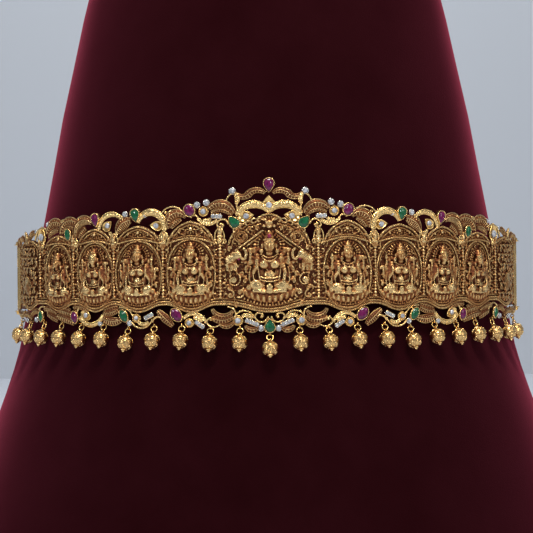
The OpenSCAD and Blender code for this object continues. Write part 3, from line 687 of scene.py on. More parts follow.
# openwork rows: s, z at start, middle and end, half widths there, style
# styles: 0 plain wire, 1 ribbed brown leaf, 2 stippled bright horn
cresting = {
    "top": [
        (2, 38.5, 6, 40, 10.5, 38, .6, 1.3, 1.8, 1), (10.5, 38, 14, 36.6, 17.8, 39.2, 1.8, 1.2, .5, 1),
        (-0.2, 28.6, 9.5, 32.6, 16.8, 27.5, .7, 2, .9, 2), (17, 26.5, 16.6, 30.5, 17.2, 35, .5, .6, .5, 0),
        (17.6, 38.6, 16.4, 36, 17, 33, .7, 1.1, .5, 2), (19, 38.4, 21.6, 36.2, 22.3, 32.6, .4, .5, .5, 0),
        (18.2, 28, 22.8, 32.8, 31.5, 30.6, .7, 1.9, .8, 1), (19.5, 26.8, 24, 29.9, 30, 28.4, .6, 1.1, .6, 1),
        (21.3, 22.3, 24.2, 25, 27, 22.7, .5, .6, .6, 0), (27, 22.7, 25.8, 20.6, 24, 22, .6, .6, .9, 0),
        (27, 24.7, 32, 22.7, 37.2, 25.6, .5, .9, .5, 2),
        (37.2, 25.6, 39, 27.3, 41, 26, .5, .6, .6, 0), (30.4, 25.4, 32, 24.5, 34.6, 24.7, .5, .9, .4, 2),
        (45, 28.5, 51.5, 32, 57.6, 28.2, .4, .5, .5, 0), (43.8, 26.3, 51.6, 27.6, 53.4, 20.5, .7, 2.3, .8, 1),
        (46.4, 25.4, 49.6, 23.6, 52, 20.8, .6, 1.5, .6, 1), (56, 19.5, 59, 28, 71, 24, 1.1, 1.8, .8, 2),
        (55, 15, 56.3, 18.2, 57.6, 15, .6, .7, .6, 0),
        (75.4, 25.6, 80.5, 24, 84, 18.5, .7, 2.1, .7, 1), (80.5, 26, 89.5, 28.6, 95.8, 21, .6, 1.3, 1, 2),
        (84, 20.5, 86, 17.2, 88.5, 19.5, .7, .8, .7, 2),
        (100.5, 24.8, 110.4, 25, 112.6, 16.5, .7, 1.8, .7, 1), (105, 22, 108, 20, 110, 16.5, .6, 1, .5, 1),
        (111.5, 25, 119.5, 26, 124.5, 19, .7, 1.4, .6, 1), (123.5, 24.4, 131.5, 25.6, 136.6, 19.5, .7, 1.5, .7, 1),
        (126, 21.2, 130.5, 21.6, 134.4, 17, .6, 1.3, .6, 1), (113.6, 22.2, 118.4, 23.4, 122.4, 19.4, .6, 1.1, .6, 1),
        (120.6, 25.2, 122, 26, 123.6, 25, .6, 1, .6, 2), (136, 20.8, 142.8, 22.4, 148.6, 16, .6, .9, .7, 0),
        (148, 20.6, 153.4, 19.6, 157.4, 15.5, .6, 1.2, .6, 1), (160, 14, 160.4, 18.6, 162, 21, 1, 1.2, .4, 2),
        (162, 14.5, 167.5, 18, 172.6, 13, .7, 1.1, .7, 1), (171, 15.5, 176.6, 16.8, 180, 12.5, .7, 1, .7, 1),
    ],
    "low": [
        (.8, -26, 4, -29, 7.6, -26, .6, .6, .6, 0), (7.6, -26, 5.2, -24.2, 3.6, -26.2, .6, .6, .9, 0),
        (7.8, -27, 13.4, -23, 18.4, -26.2, .5, .6, .5, 0), (9, -27, 11.6, -25.4, 14.4, -26, .5, .9, .5, 2),
        (5.8, -31, 9, -33.1, 12.6, -30.8, .4, 1.3, .5, 1), (18.2, -26.6, 18.4, -22.6, 22, -21, .5, .6, .5, 0),
        (19.2, -23, 24.5, -26, 30, -22, .6, 1.3, .6, 1), (19, -26, 23.8, -28, 30.4, -26.6, .7, 1.6, .7, 1),
        (18.6, -28.8, 22, -31.1, 26.2, -29.8, .5, 1.1, .6, 1), (26, -29.9, 30, -31.5, 33, -29, .5, .6, .6, 0),
        (33, -29, 31.8, -27, 29, -27.8, .6, .6, .8, 0), (33.2, -29.5, 39.5, -24.5, 45.4, -27, .5, .8, .6, 2),
        (38.8, -23, 39.3, -24, 39.5, -25.5, .6, .6, .6, 0), (35.4, -28.7, 37.2, -27.2, 40, -26.9, .5, .9, .6, 2),
        (51.4, -31, 55.2, -27.4, 60, -23, .9, 2.1, .8, 1), (56, -28.4, 60.3, -26.3, 63, -29.1, .6, .8, .6, 0),
        (63.2, -27.5, 68.6, -32.2, 75.4, -29, .5, .7, .6, 0), (65.3, -28.8, 68.6, -30.2, 71.4, -28.6, .5, .9, .6, 2),
        (74.3, -26.6, 77.6, -22.4, 83, -21.4, .6, .7, .6, 0), (83.4, -22.4, 88, -24.4, 93.4, -25, .7, 1, .6, 1),
        (82, -28.2, 87.5, -29.2, 93.6, -27.4, .7, 1.4, .7, 1), (93.6, -25.4, 102.4, -31, 109.6, -26.6, .6, 1.2, .8, 2),
        (103.4, -22, 110.6, -22, 112.2, -25.5, .6, .7, .7, 0),
        (114, -30.6, 120.5, -28.2, 128.4, -27, .7, 1.3, .6, 1), (115.6, -26, 121, -24.4, 127.6, -23.8, .6, 1.1, .6, 1),
        (117, -23.6, 123, -22.2, 129, -22.8, .5, .8, .5, 1), (128, -25.4, 133.6, -23, 139.4, -23, .6, 1.1, .6, 1),
        (83.6, -20.8, 88, -21.6, 92.6, -23, .5, .8, .5, 1), (104, -24.2, 109, -21.4, 114.6, -22, .5, .9, .5, 1),
        (127, -29.2, 131.8, -27.3, 136.4, -25.8, .7, 1.1, .6, 1),
        (136, -26.6, 137.6, -22.8, 145, -23.4, .6, .7, .7, 0),
        (144.6, -25, 150, -24.6, 154, -27.4, .6, 1, .6, 1), (152.4, -29, 158, -26.6, 164, -27.4, .7, 1, .7, 1),
        (162.6, -25, 170, -27.2, 177.4, -24.4, .7, 1.1, .7, 1),
    ],
    "bells": [(25.8, 20.2, 2.5), (56, 19, 2.4), (85.6, 18.2, 2.2), (112.9, 16.6, 2), (140.7, 15.4, 1.9)],
    "balls": [(4.6, 33, .8), (25, 22.4, .9), (55, 29, .8), (4.2, -26.2, .9), (30.6, -27.6, .9),
              (24, 22, .8), (17, 33.4, .8)],
    "n": 1.6, "tallest": 1.5, "steps": 18, "leafFlat": 0.42, "ribPitch": 1.4, "broadFrom": 74, "broad": 1.6,
    "threeRibs": 1.05, "bellLow": 11.2,
}

# arc through three points, with its half width at each
def arcThrough(row, steps):
    ax, ay, bx, by, cx, cy, w0, w1, w2 = row[:9]
    d = 2 * (ax * (by - cy) + bx * (cy - ay) + cx * (ay - by))
    qa, qb, qc = ax * ax + ay * ay, bx * bx + by * by, cx * cx + cy * cy
    ox = (qa * (by - cy) + qb * (cy - ay) + qc * (ay - by)) / d
    oy = (qa * (cx - bx) + qb * (ax - cx) + qc * (bx - ax)) / d
    r = math.hypot(ax - ox, ay - oy)
    start = math.atan2(ay - oy, ax - ox)
    sweep = (math.atan2(cy - oy, cx - ox) - start) % (2 * math.pi)
    if (bx - ax) * (cy - by) - (by - ay) * (cx - bx) < 0:
        sweep -= 2 * math.pi
    points = []
    for i in range(steps + 1):
        u = i / steps
        a = start + sweep * u
        end = w0 if u < 0.5 else w2
        points.append((ox + r * math.cos(a), oy + r * math.sin(a), end + (w1 - end) * math.sin(math.pi * u)))
    return points

def sideOffset(points, i, share):
    a, b = points[max(i - 1, 0)], points[min(i + 1, len(points) - 1)]
    dx, dy = b[0] - a[0], b[1] - a[1]
    size = math.hypot(dx, dy)
    x, y, w = points[i]
    return x - dy / size * w * share, y + dx / size * w * share

def flatten(mesh, middle, tallest):
    points = vertexArray(mesh)
    points[:, 2] = middle + tallest * np.tanh((points[:, 2] - middle) / tallest)
    mesh.vertices.foreach_set("co", points.astype(np.float32).ravel())
    return mesh

def squashed(mesh, share):
    mesh.transform(Matrix.Diagonal((1, 1, share, 1)))
    return mesh

def bothSides(stroke):
    return [stroke, [(-x, y, n, radius) for x, y, n, radius in stroke]]

# lines along a leaf and ribs across it, laid on its rounded back
def leafLines(points):
    n, flat, steps = cresting["n"], cresting["leafFlat"], cresting["steps"]
    def onLeaf(i, share, radius):
        up = flat * points[i][2] * (1 - share * share) ** 0.5 + 0.1
        return sideOffset(points, i, share) + (n + up, radius)
    broad = max(w for x, y, w in points) > cresting["threeRibs"]
    lines = [[onLeaf(i, share, 0.3) for i in range(steps + 1)] for share in ((-1, 0.05, 1) if broad else (-1, 1))]
    length = sum(math.dist(a[:2], b[:2]) for a, b in zip(points, points[1:]))
    pitch = max(1, round(cresting["ribPitch"] * steps / length))
    ribs = (-0.95, -0.5, 0) if broad else (-0.95, 0, 0.95)
    lines += [[onLeaf(i, share, 0.27) for share in ribs] for i in range(1, steps, pitch)]
    if broad:
        lines += [[onLeaf(i, share, 0.3) for share in (0.42, 0.5, 0.62)] for i in range(1 + pitch // 2, steps, pitch)]
    return lines

def openwork():
    horns, leaves, bodies, rims = [], [], [], []
    n, flat = cresting["n"], cresting["leafFlat"]
    for row in cresting["top"] + cresting["low"]:
        style = row[9]
        points = arcThrough(row, cresting["steps"])
        if style == 0:
            rims += bothSides([(x, y, n, max(0.42, w * 0.85)) for x, y, w in points])
        elif style == 2:
            horns += bothSides([(x, y, n, w) for x, y, w in points])
            for share in (-0.95, 0.95):
                rims += bothSides([sideOffset(points, i, share) + (n + 0.35, 0.3) for i in range(len(points))])
        else:
            if row[0] > cresting["broadFrom"]:
                aside = -0.35 if row[1] > 0 else 0.2
                points = [sideOffset(points, i, aside) + (point[2] * cresting["broad"],)
                          for i, point in enumerate(points)]
            bodies += bothSides([(x, y, n / flat, w) for x, y, w in points])
            for line in leafLines(points):
                leaves += bothSides(line)
    bm = bmesh.new()
    low = cresting["bellLow"]
    for side in bothWays:
        for s, top, wide in cresting["bells"]:
            tall = top - low
            rims.append([(side * s + wide * math.sin(t), low + tall * (0.5 + 0.5 * math.cos(t)), n + 0.6, 0.4)
                         for t in np.linspace(-2.6, 2.6, 24)])
            balls(bm, [(s, low + 0.3 * tall, n, 0.62 * wide, 0.26 * tall, 1.3),
                       (s, low + 0.7 * tall, n, 0.48 * wide, 0.2 * tall, 1.1)], side)
            balls(bm, [(s, low + 0.48 * tall, n + 0.6, 0.4, 0.4, 0.5)], side, 1)
        balls(bm, [(x, y, n + 0.3, r, r, r) for x, y, r in cresting["balls"]], side)
    return ([flatten(wires(horns, sides=3), n, cresting["tallest"]), wires(rims, sides=2), meshFrom(bm, "balls")],
            [wires(leaves, sides=0)], [squashed(wires(bodies, sides=2), flat)])

# stones: s, z, kind (0 oval, 1 pear, 2 marquise), height, width, lean
stones = {
    "ruby": [(0, 42.6, 1, 6.8, 5, 180), (41.8, 29.9, 0, 6, 5.2, 20), (98, 25.9, 1, 6.8, 4.6, 193),
             (49.3, -25.2, 2, 7.4, 5, 38), (113.4, -27, 2, 6.4, 4.4, 17)],
    "emerald": [(0, -30.9, 1, 6.6, 5, 0), (18.4, 23.6, 1, 6.6, 5, 41), (72.5, 27.8, 1, 6.6, 4.8, 193),
                (118.1, 18.6, 0, 6, 3.8, 14), (80, -25.8, 2, 6.8, 4.2, 31), (142.2, -27, 2, 6, 3.6, 8)],
    "back": 1.4, "bezelTop": 2.8, "wall": 0.5, "gap": 0.1, "around": 24,
    "cut": [(0.5, 0), (1, 1.0), (1, 1.2), (0.93, 1.5), (0.8, 1.78), (0.6, 1.98), (0.42, 2.08)],
}
def wholeSet(rows):
    return [(-s, z, kind, h, w, -lean) for s, z, kind, h, w, lean in reversed(rows[1:])] + rows

def outlineLoop(bm, row, grow, n, count, share=1):
    s, z, kind, h, w, lean = row
    high, wide = (h / 2 + grow) * share, (w / 2 + grow) * share
    turn = math.radians(-lean)
    ring = circle(bm, (0, 0, 0), 1, count)
    for i, v in enumerate(ring):
        t = 2 * math.pi * i / count
        shape = (1, 1.25 * abs(math.sin(t / 2)) ** 0.9, abs(math.sin(t)) ** 0.3)[kind]
        x, y = -wide * math.sin(t) * shape, high * math.cos(t)
        v.co = (s + x * math.cos(turn) - y * math.sin(turn), z + x * math.sin(turn) + y * math.cos(turn), n)
    return ring

def edgesOf(ring):
    inside = set(ring)
    return list({e for v in ring for e in v.link_edges if e.other_vert(v) in inside})

def stackLoops(bm, rings):
    for a, b in zip(rings, rings[1:]):
        bmesh.ops.bridge_loops(bm, edges=edgesOf(a) + edgesOf(b))
    for ring in (rings[0], rings[-1]):
        bmesh.ops.edgeloop_fill(bm, edges=edgesOf(ring))

def cutStone(row, name):
    bm = bmesh.new()
    stackLoops(bm, [outlineLoop(bm, row, 0, stones["back"] + up, stones["around"], share)
                    for share, up in stones["cut"]])
    bmesh.ops.recalc_face_normals(bm, faces=bm.faces)
    return meshFrom(bm, name)

def bezels(rows):
    bm = bmesh.new()
    top, wall, gap = stones["bezelTop"], stones["wall"], stones["gap"]
    profile = [(gap + wall + 0.15, 0.4), (gap + wall + 0.1, top - 0.5), (gap + wall * 0.9, top - 0.1),
               (gap + wall * 0.5, top + 0.1), (gap, top - 0.1), (gap, 1.1)]
    for row in rows:
        stackLoops(bm, [outlineLoop(bm, row, grow, n, stones["around"]) for grow, n in profile])
    return meshFrom(bm, "bezels")

# small clear stones: s, z, radius, setting (0 claws, 1 beaded ring, 2 plain ring in a pointed frame)
brilliants = {
    "middle": [(0, 32.2, 1.6, 2)],
    "side": [(19, 39.7, 1.35, 0), (11.9, 26.5, 1.5, 2), (37.8, 32.7, 1.25, 0), (32.7, 33.9, 1.25, 0),
             (34.4, 29.2, 1.4, 1), (60.5, 22.1, 1.45, 2), (79, 28.6, 1.2, 0), (67.3, 28.2, 1.2, 0),
             (90, 22.8, 1.45, 2), (141.4, 17.6, 2.1, 2), (135.6, 24.6, 1.1, 0), (147.5, 21, 0.9, 0),
             (4.6, -32.3, 1.2, 0), (16.6, -28.2, 1.5, 1), (42.5, -29.4, 1.25, 1), (72.6, -27, 1.2, 1),
             (76.8, -29.7, 1.1, 0), (95.8, -30, 1.1, 0), (105.4, -25.8, 1.35, 2), (147.8, -29, 1.2, 0),
             (160, -29.6, 1.1, 0)],
    "frames": [(0, 32.9, 1, 9, 7.2, 0), (11.9, 26.5, 1, 8.4, 6, -82),
               (60.5, 22.1, 1, 7, 5.4, 84), (90, 22.8, 1, 7, 5.4, -48), (105.4, -25.8, 2, 7.6, 5.2, 62),
               (141.4, 18.6, 1, 10, 8, 0)],
    "frameProfile": [(0, 0.5), (0.1, 2.0), (-0.15, 2.3), (-0.45, 2.25), (-0.7, 1.7)],
    "bars": [(27.4, 26.6, 2, 3), (9.2, -29.3, 22, 4), (36.8, -30.2, 34, 3), (65.2, -26, -26, 3)],
    "pitch": 1.75, "barRadius": 0.75, "barN": 2.0, "rail": 1.05, "n": 1.75, "base": 0.6, "beads": 14, "claws": 4,
    "cut": [(0.3, -0.35), (1.0, 0.25), (1.0, 0.35), (0.78, 0.6), (0.55, 0.72)],
}

def brilliant(bm, s, z, r, n):
    stackLoops(bm, [circle(bm, (s, z, n + r * up), r * share, 12) for share, up in brilliants["cut"]])

def collet(bm, s, z, r, n, kind):
    base = brilliants["base"]
    profile = [(r * 0.8, base), (r + 0.45, base + 0.3), (r + 0.5, n + 0.05), (r + 0.1, n + 0.1), (r * 0.9, n - 0.4)]
    stackLoops(bm, [circle(bm, (s, z, up), radius, 20) for radius, up in profile])
    if kind == 1:
        for i in range(brilliants["beads"]):
            t = 2 * math.pi * i / brilliants["beads"]
            bead(bm, s + (r + 0.95) * math.cos(t), z + (r + 0.95) * math.sin(t), n - 0.1, 0.32)
        profile = [(r + 1.35, base), (r + 1.4, n - 0.5), (r + 1.15, n - 0.2), (r + 0.5, n - 0.3)]
        stackLoops(bm, [circle(bm, (s, z, up), radius, 20) for radius, up in profile])
    if kind == 0:
        for i in range(brilliants["claws"]):
            t = 2 * math.pi * (i + 0.5) / brilliants["claws"]
            x, y = math.cos(t), math.sin(t)
            limb(bm, (s + (r + 0.12) * x, z + (r + 0.12) * y, base), (s + r * x, z + r * y, n + 0.5), 0.26, 0.24, 6)

def clearStoneSet():
    stoneBm, clawBm, ringBm = bmesh.new(), bmesh.new(), bmesh.new()
    rows = brilliants["middle"] + [(side * s, *rest) for s, *rest in brilliants["side"] for side in (1, -1)]
    for s, z, r, kind in rows:
        brilliant(stoneBm, s, z, r, brilliants["n"])
        collet(ringBm if kind else clawBm, s, z, r, brilliants["n"], kind)
    for s, z, kind, h, w, lean in brilliants["frames"]:
        for side in bothWays if s else (1,):
            row = (side * s, z, kind, h, w, side * lean)
            stackLoops(ringBm, [outlineLoop(ringBm, row, grow, n, 28) for grow, n in brilliants["frameProfile"]])
    pitch, radius, n = brilliants["pitch"], brilliants["barRadius"], brilliants["barN"]
    for s, z, slope, count in brilliants["bars"]:
        dx, dy = math.cos(math.radians(slope)), math.sin(math.radians(slope))
        for side in bothWays:
            for i in range(count):
                x = (i - (count - 1) / 2) * pitch
                brilliant(stoneBm, side * (s + x * dx), z + x * dy, radius, n)
                collet(clawBm, side * (s + x * dx), z + x * dy, radius, n - 0.05, 0)
            half = count * pitch / 2
            for k in (-brilliants["rail"], brilliants["rail"]):
                limbs(ringBm, [((s - half * dx - k * dy, z - half * dy + k * dx, 1.6),
                                (s + half * dx - k * dy, z + half * dy + k * dx, 1.6), 0.38, 0.38, 8)], side)
    return meshFrom(stoneBm, "brilliants"), meshFrom(clawBm, "claws"), meshFrom(ringBm, "rings")

# end strips with their hinge knuckles and the finials of the pins; ribs are s and radius
ends = {"top": 13.6, "low": -24.6, "ribs": [(176.8, 0.5), (179.2, 0.35), (181.6, 0.5), (184, 0.6)],
        "pin": 186, "pinN": 0.8, "knuckle": 1.25}

def endStrips():
    bm = bmesh.new()
    strokes = []
    top, low, pin, radius = ends["top"], ends["low"], ends["pin"], ends["knuckle"]
    tall = (top - low) / 3
    for side in bothWays:
        for s, r in ends["ribs"]:
            strokes.append([(side * s, y, 1.25, r) for y in np.linspace(low + 1, top - 1, 30)])
        for y in (low + 0.8, top - 0.8):
            strokes.append([(side * s, y, 1.2, 0.55) for s in np.linspace(176.4, 184.4, 12)])
        for k in (0, 2):
            a, b = low + k * tall + 0.1, low + (k + 1) * tall - 0.1
            place = (Matrix.Translation((side * pin, (a + b) / 2, ends["pinN"]))
                     @ Matrix.Rotation(math.pi / 2, 4, "X"))
            bmesh.ops.create_cone(bm, cap_ends=True, segments=20, radius1=radius, radius2=radius, depth=b - a,
                                  matrix=place)
            strokes += [[(side * (pin + radius * math.cos(t)), y, ends["pinN"] + radius * math.sin(t), 0.16)
                         for t in np.linspace(0.2, math.pi - 0.2, 10)] for y in np.linspace(a + 0.5, b - 0.5, 8)]
            limbs(bm, [((184.6, a + 0.6, 0.5), (184.6, b - 0.6, 0.5), 0.5, 0.5, 8)], side)
        for y, up in ((low, -1), (top, 1)):
            balls(bm, [(pin, y + up * 0.7, 0.9, 2.8, 0.6, 2.8), (pin, y + up * 1.8, 0.9, 2.0, 1.1, 2.0)], side)
    return [wires(strokes, sides=1), meshFrom(bm, "knuckles")]

# bead drops on their rings, with the height of each fixed loop from the middle outwards
drops = {"pitch": 15.5, "beadRadius": 4, "loopRadius": 1, "wire": 0.64, "ring": 4, "loopN": 1.2, "count": 23,
         "heights": [-35.5, -31.9, -31.9, -30.8, -30.9, -32.4, -30.4, -30.8, -30.4, -30.6, -30.4, -30.2],
         "slope": 0.24, "loopLow": -35, "frontGap": 0.3, "sideGap": 1.8, "play": 0.13, "sunk": 0.3}
ringMiddle = (drops["ring"] - drops["wire"]) / 2
hook = drops["wire"] + drops["play"]
eyeCentre = 2 * (drops["loopRadius"] - hook + ringMiddle)
beadCentre = eyeCentre + drops["loopRadius"] + drops["beadRadius"] - drops["sunk"]

# how each drop leans out so that its bead rests just off the stand's slope
def dropPlace(i):
    s = (i - 12) * drops["pitch"]
    z = drops["heights"][abs(i - 12)]
    turn = float(turnAt(s))
    phi = math.atan(drops["slope"])
    gap = drops["frontGap"] + (drops["sideGap"] - drops["frontGap"]) * math.sin(turn) ** 2
    lean = phi + math.asin(math.cos(phi) * ((drops["beadRadius"] + 0.5) * math.cos(phi) - drops["loopN"] - gap
                                            + drops["slope"] * (drops["loopLow"] - z)) / beadCentre)
    at = onLoop(np.array([s]), np.array([z]), np.array([drops["loopN"]]))[0]
    return (Matrix.Translation(at) @ Matrix.Rotation(turn, 4, "Z") @ Matrix.Rotation(math.pi / 2 - lean, 4, "X")
            @ Matrix.Diagonal((mm, mm, mm, 1)))

# a round of wire across the belt
def ringAcross(s, y, n, count):
    radius = drops["loopRadius"]
    return [(s, y + radius * math.sin(t), n + radius * math.cos(t), drops["wire"] / 2)
            for t in np.linspace(0, 2 * math.pi, count, endpoint=False)]

def beadMesh():
    r = drops["beadRadius"]
    y0 = -beadCentre
    bm = bmesh.new()
    bmesh.ops.create_uvsphere(bm, u_segments=32, v_segments=20, radius=r,
                              matrix=Matrix.Translation((0, y0, 0)) @ Matrix.Rotation(math.pi / 2, 4, "X"))
    balls(bm, [(0, y0 - r - 0.2, 0, 1.5, 0.7, 1.5), (0, y0 - r - 0.8, 0, 0.8, 0.7, 0.8),
               (0, y0 + r - 0.1, 0, 1.3, 0.5, 1.3)])
    def onBead(up, a, thick, radius=r):
        across = radius * math.cos(up)
        return across * math.cos(a), y0 + radius * math.sin(up), across * math.sin(a), thick
    strokes = []
    for k in range(5):
        a0 = 2 * math.pi * k / 5
        for big, thick in ((1.0, 0.34), (0.45, 0.32)):
            strokes.append([onBead(0.66 + 0.42 * big * math.sin(t), a0 + 0.56 * big * math.cos(t), thick)
                            for t in np.linspace(-0.9, 4.2, 14)])
        strokes.append([onBead(1.4 - 1.1 * t, a0 + 0.62 + 0.2 * math.sin(3 * t), 0.3 - 0.1 * t)
                        for t in np.linspace(0, 1, 9)])
    for k in range(8):
        strokes.append([onBead(-0.98 + 0.56 * (1 - t * t), 2 * math.pi * k / 8 + 0.36 * t, 0.3)
                        for t in np.linspace(-1, 1, 9)])
    bands = [[onBead(up, a, thick, r + 0.1) for a in np.linspace(0, 2 * math.pi, 32, endpoint=False)]
             for up, thick in ((0.1, 0.3), (-0.1, 0.3), (-1.02, 0.26), (1.36, 0.2))]
    mesh = joinMeshes("bead", [meshFrom(bm, "core"), wires(strokes, sides=0),
                               wires(bands + [ringAcross(0, -eyeCentre, 0, 28)], sides=1, closed=True)])
    # tone rises with height above the bead's core: raised wires lighter and hollows darker, partly wear and partly
    # painted highlight and shade
    fromMiddle = np.linalg.norm(vertexArray(mesh) - np.array([0, y0, 0]), axis=1)
    giveTone(mesh, np.clip(0.5 + 1.7 * (fromMiddle - r), 0.1, 1))
    return mesh

def placedCopy(mesh, name, place):
    copy = mesh.copy()
    copy.name = name
    copy.transform(place)
    obj = makeObject(name, copy)
    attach(obj, "root")
    return obj

# fixed loops that the drops hang from, and the eye and forehead stones
def fixedLoops():
    last = drops["count"] // 2
    return wires([ringAcross(i * drops["pitch"], drops["heights"][abs(i)], drops["loopN"], 20)
                  for i in range(-last, last + 1)], sides=1, closed=True)

def smallStones():
    bm = bmesh.new()
    for s, z, r, n in ((0, 15.9, 0.95, 4.8), (-15.8, 4.2, 0.75, 3.5), (15.8, 4.2, 0.75, 3.5)):
        ball(bm, (s, z, n), (r, r * 1.15, r * 0.7))
    return meshFrom(bm, "smallStones")

# scroll mask above the middle figure, with rows of curls that run down the arch on both sides
crest = {"curls": 5, "pitch": 3.1, "plumes": 3, "grain": 0.28, "backAt": 0.8, "kept": 0.5}

def crestMask():
    bm = bmesh.new()
    strokes = []
    balls(bm, [(0, 22.6, 2.6, 2.3, 2.0, 1.7), (0, 20.9, 3.2, 1.5, 1.1, 1.2)])
    for side in bothWays:
        balls(bm, [(1.25, 23.2, 3.8, 0.75, 0.75, 0.6), (2.6, 21.2, 2.6, 1.1, 0.9, 0.9)], side)
        limbs(bm, [((1.6, 24.2, 3.0), (3.6, 26.0, 2.2), 0.6, 0.3)], side)
        for j in range(crest["curls"]):
            x = crest["pitch"] * j
            strokes.append(curl(side * (4.2 + x), 24.2 - 0.5 * j - 0.22 * j * j, 2.2, 2.0, 90 + 50 * side,
                                -side, 0.42))
            strokes.append(curl(side * (5.0 + x), 21.0 - 0.7 * j - 0.3 * j * j, 2.0, 1.6, -60, side, 0.36))
            bead(bm, side * (4.4 + x), 22.4 - 0.6 * j - 0.26 * j * j, 2.2, 0.6)
    for i in range(-crest["plumes"], crest["plumes"] + 1):
        strokes.append([(i * 0.75 * (1 + 1.1 * t), 24.0 + 2.4 * t - 0.12 * i * i * t, 2.6, 0.42 - 0.2 * t)
                        for t in np.linspace(0, 1, 6)])
    return [castSkin(bm, crest["grain"], crest["backAt"], crest["kept"]), wires(strokes, sides=1)]

# pieces on the plaque, drawn flat
archPlate = flatPiece("archPlate", [plate()], lift=-0.35)
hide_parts("front_plaque")
groundLeft = flatPiece("groundLeft", groundCurls(-1), lift=0.06)
groundRight = flatPiece("groundRight", groundCurls(1), lift=0.06)
thickRopes, thinRopes = archRopes()
ropesThick = flatPiece("ropesThick", [thickRopes], lift=0.05)
ropesThin = flatPiece("ropesThin", [thinRopes], lift=0.06)
print("plate and ropes ready")
crescentField = flatPiece("crescentField", crescents() + crestMask())
budColumns = flatPiece("budColumns", columns())
cast = figures()
figuresLeft = flatPiece("figuresLeft", cast[:5], lift=-0.07)
figureMiddle = flatPiece("figureMiddle", cast[5:6], lift=-0.07)
figuresRight = flatPiece("figuresRight", cast[6:], lift=-0.07)
print("figures ready")
horns, leaves, leafBodies = openwork()
settings = bezels(wholeSet(stones["ruby"]) + wholeSet(stones["emerald"]))
brightScrolls = flatPiece("brightScrolls", horns + [settings], lift=0.3)
leafRibs = flatPiece("leafRibs", leaves, lift=0.12)
leafBacks = flatPiece("leafBacks", leafBodies, lift=-0.5)
endStrip = flatPiece("endStrip", endStrips() + [fixedLoops()], lift=0.3)
whiteStones, claws, rings = clearStoneSet()
clearStones = flatPiece("clearStones", [whiteStones])
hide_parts("white_stones")
silverClaws = flatPiece("silverClaws", [claws], lift=0.3)
goldRings = flatPiece("goldRings", [rings], lift=0.3)
pinkStones = flatPiece("pinkStones", [smallStones()])
stonePieces = {"ruby": [], "emerald": []}
for kind in stonePieces:
    for i, row in enumerate(wholeSet(stones[kind])):
        piece = flatPiece(f"{kind}Stone{i + 1}", [cutStone(row, "stone")])
        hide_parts(f"{kind}_{i + 1}")
        stonePieces[kind].append(piece)
for piece in [clearStones] + stonePieces["ruby"] + stonePieces["emerald"]:
    piece.data.polygons.foreach_set("use_smooth", [False] * len(piece.data.polygons))
bendPieces()
print("plaque bent")

beadPieces = []
beadShape = beadMesh()
for i in range(1, drops["count"] + 1):
    piece = placedCopy(beadShape, f"beadDrop{i}", dropPlace(i))
    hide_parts(f"drop_{i}")
    beadPieces.append(piece)
bpy.data.meshes.remove(beadShape)
print("drops ready")

# the velvet form: height and how far out from the belt's oval
form = {"halfWidth": 148.2, "halfDepth": 113.2, "sideRadius": 87.7, "around": 160,
        "rows": [(0, 43.2), (0.8, 44), (15, 38.6), (30, 33.4), (45, 28.5), (62, 22.3), (80, 16.5), (95, 11), (110, 6),
                 (122, 2.6), (135, 0), (150, -3.1), (168, -6.6), (184, -9.8), (200, -13), (230, -18.6), (260, -24),
                 (290, -30.6), (320, -37), (333, -40.2), (345, -43.5), (350, -45.3), (354, -47.5), (357, -50),
                 (359, -53), (359.8, -56), (360, -59)]}

# a point on one quarter of the form, out from the oval; share 0 is its front middle and 1 its side
def formPoint(share, out):
    meets, radius, length = ovalArcs(form)
    s = share * (length + form["sideRadius"] * (math.pi / 2 - meets))
    if s <= length:
        t = s / radius
        return (radius + out) * math.sin(t), form["halfDepth"] - radius + (radius + out) * math.cos(t)
    t = meets + (s - length) / form["sideRadius"]
    side = form["sideRadius"] + out
    return form["halfWidth"] - form["sideRadius"] + side * math.sin(t), side * math.cos(t)

def velvetForm():
    bm = bmesh.new()
    rings = []
    for height, out in form["rows"]:
        ring = circle(bm, (0, 0, 0), 1, form["around"])
        for i, v in enumerate(ring):
            sector, share = divmod(4 * i / form["around"], 1)
            x, y = formPoint(1 - share if sector % 2 else share, out)
            v.co = (-x * mm if sector in (2, 3) else x * mm, -y * mm if sector in (1, 2) else y * mm, height * mm)
        rings.append(ring)
    stackLoops(bm, rings)
    bmesh.ops.recalc_face_normals(bm, faces=bm.faces)
    mesh = meshFrom(bm, "velvetForm")
    mesh.polygons.foreach_set("use_smooth", [len(p.vertices) == 4 for p in mesh.polygons])
    obj = makeObject("velvetForm", mesh)
    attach(obj, "root")
    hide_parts("display_stand")
    return obj

velvet = velvetForm()
print("velvet form ready")

# materials
def newMaterial(name, values=None):
    material = bpy.data.materials.new(name)
    material.use_nodes = True
    surface = material.node_tree.nodes["Principled BSDF"]
    for key, value in (values or {}).items():
        surface.inputs[key].default_value = value
    return material, material.node_tree, surface

def addNode(tree, kind, inputs=None, **settings):
    node = tree.nodes.new(kind)
    for key, value in settings.items():
        setattr(node, key, value)
    for key, value in (inputs or {}).items():
        node.inputs[key].default_value = value
    return node

# textures that lie in the object's own space; each is a kind and its values
def addTextures(tree, *rows):
    place = tree.nodes.new("ShaderNodeTexCoord")
    textures = [addNode(tree, kind, values) for kind, values in rows]
    for texture in textures:
        tree.links.new(place.outputs["Object"], texture.inputs["Vector"])
    return textures

# colours from the first stop to the last, driven by one value
def addRamp(tree, source, stops):
    ramp = tree.nodes.new("ShaderNodeValToRGB")
    bands = ramp.color_ramp.elements
    bands[0].position, bands[0].color = stops[0]
    bands[1].position, bands[1].color = stops[-1]
    for at, colour in stops[1:-1]:
        bands.new(at).color = colour
    tree.links.new(source, ramp.inputs["Fac"])
    return ramp.outputs["Color"]

def addRange(tree, source, values):
    spread = addNode(tree, "ShaderNodeMapRange", values)
    tree.links.new(source, spread.inputs["Value"])
    return spread.outputs["Result"]

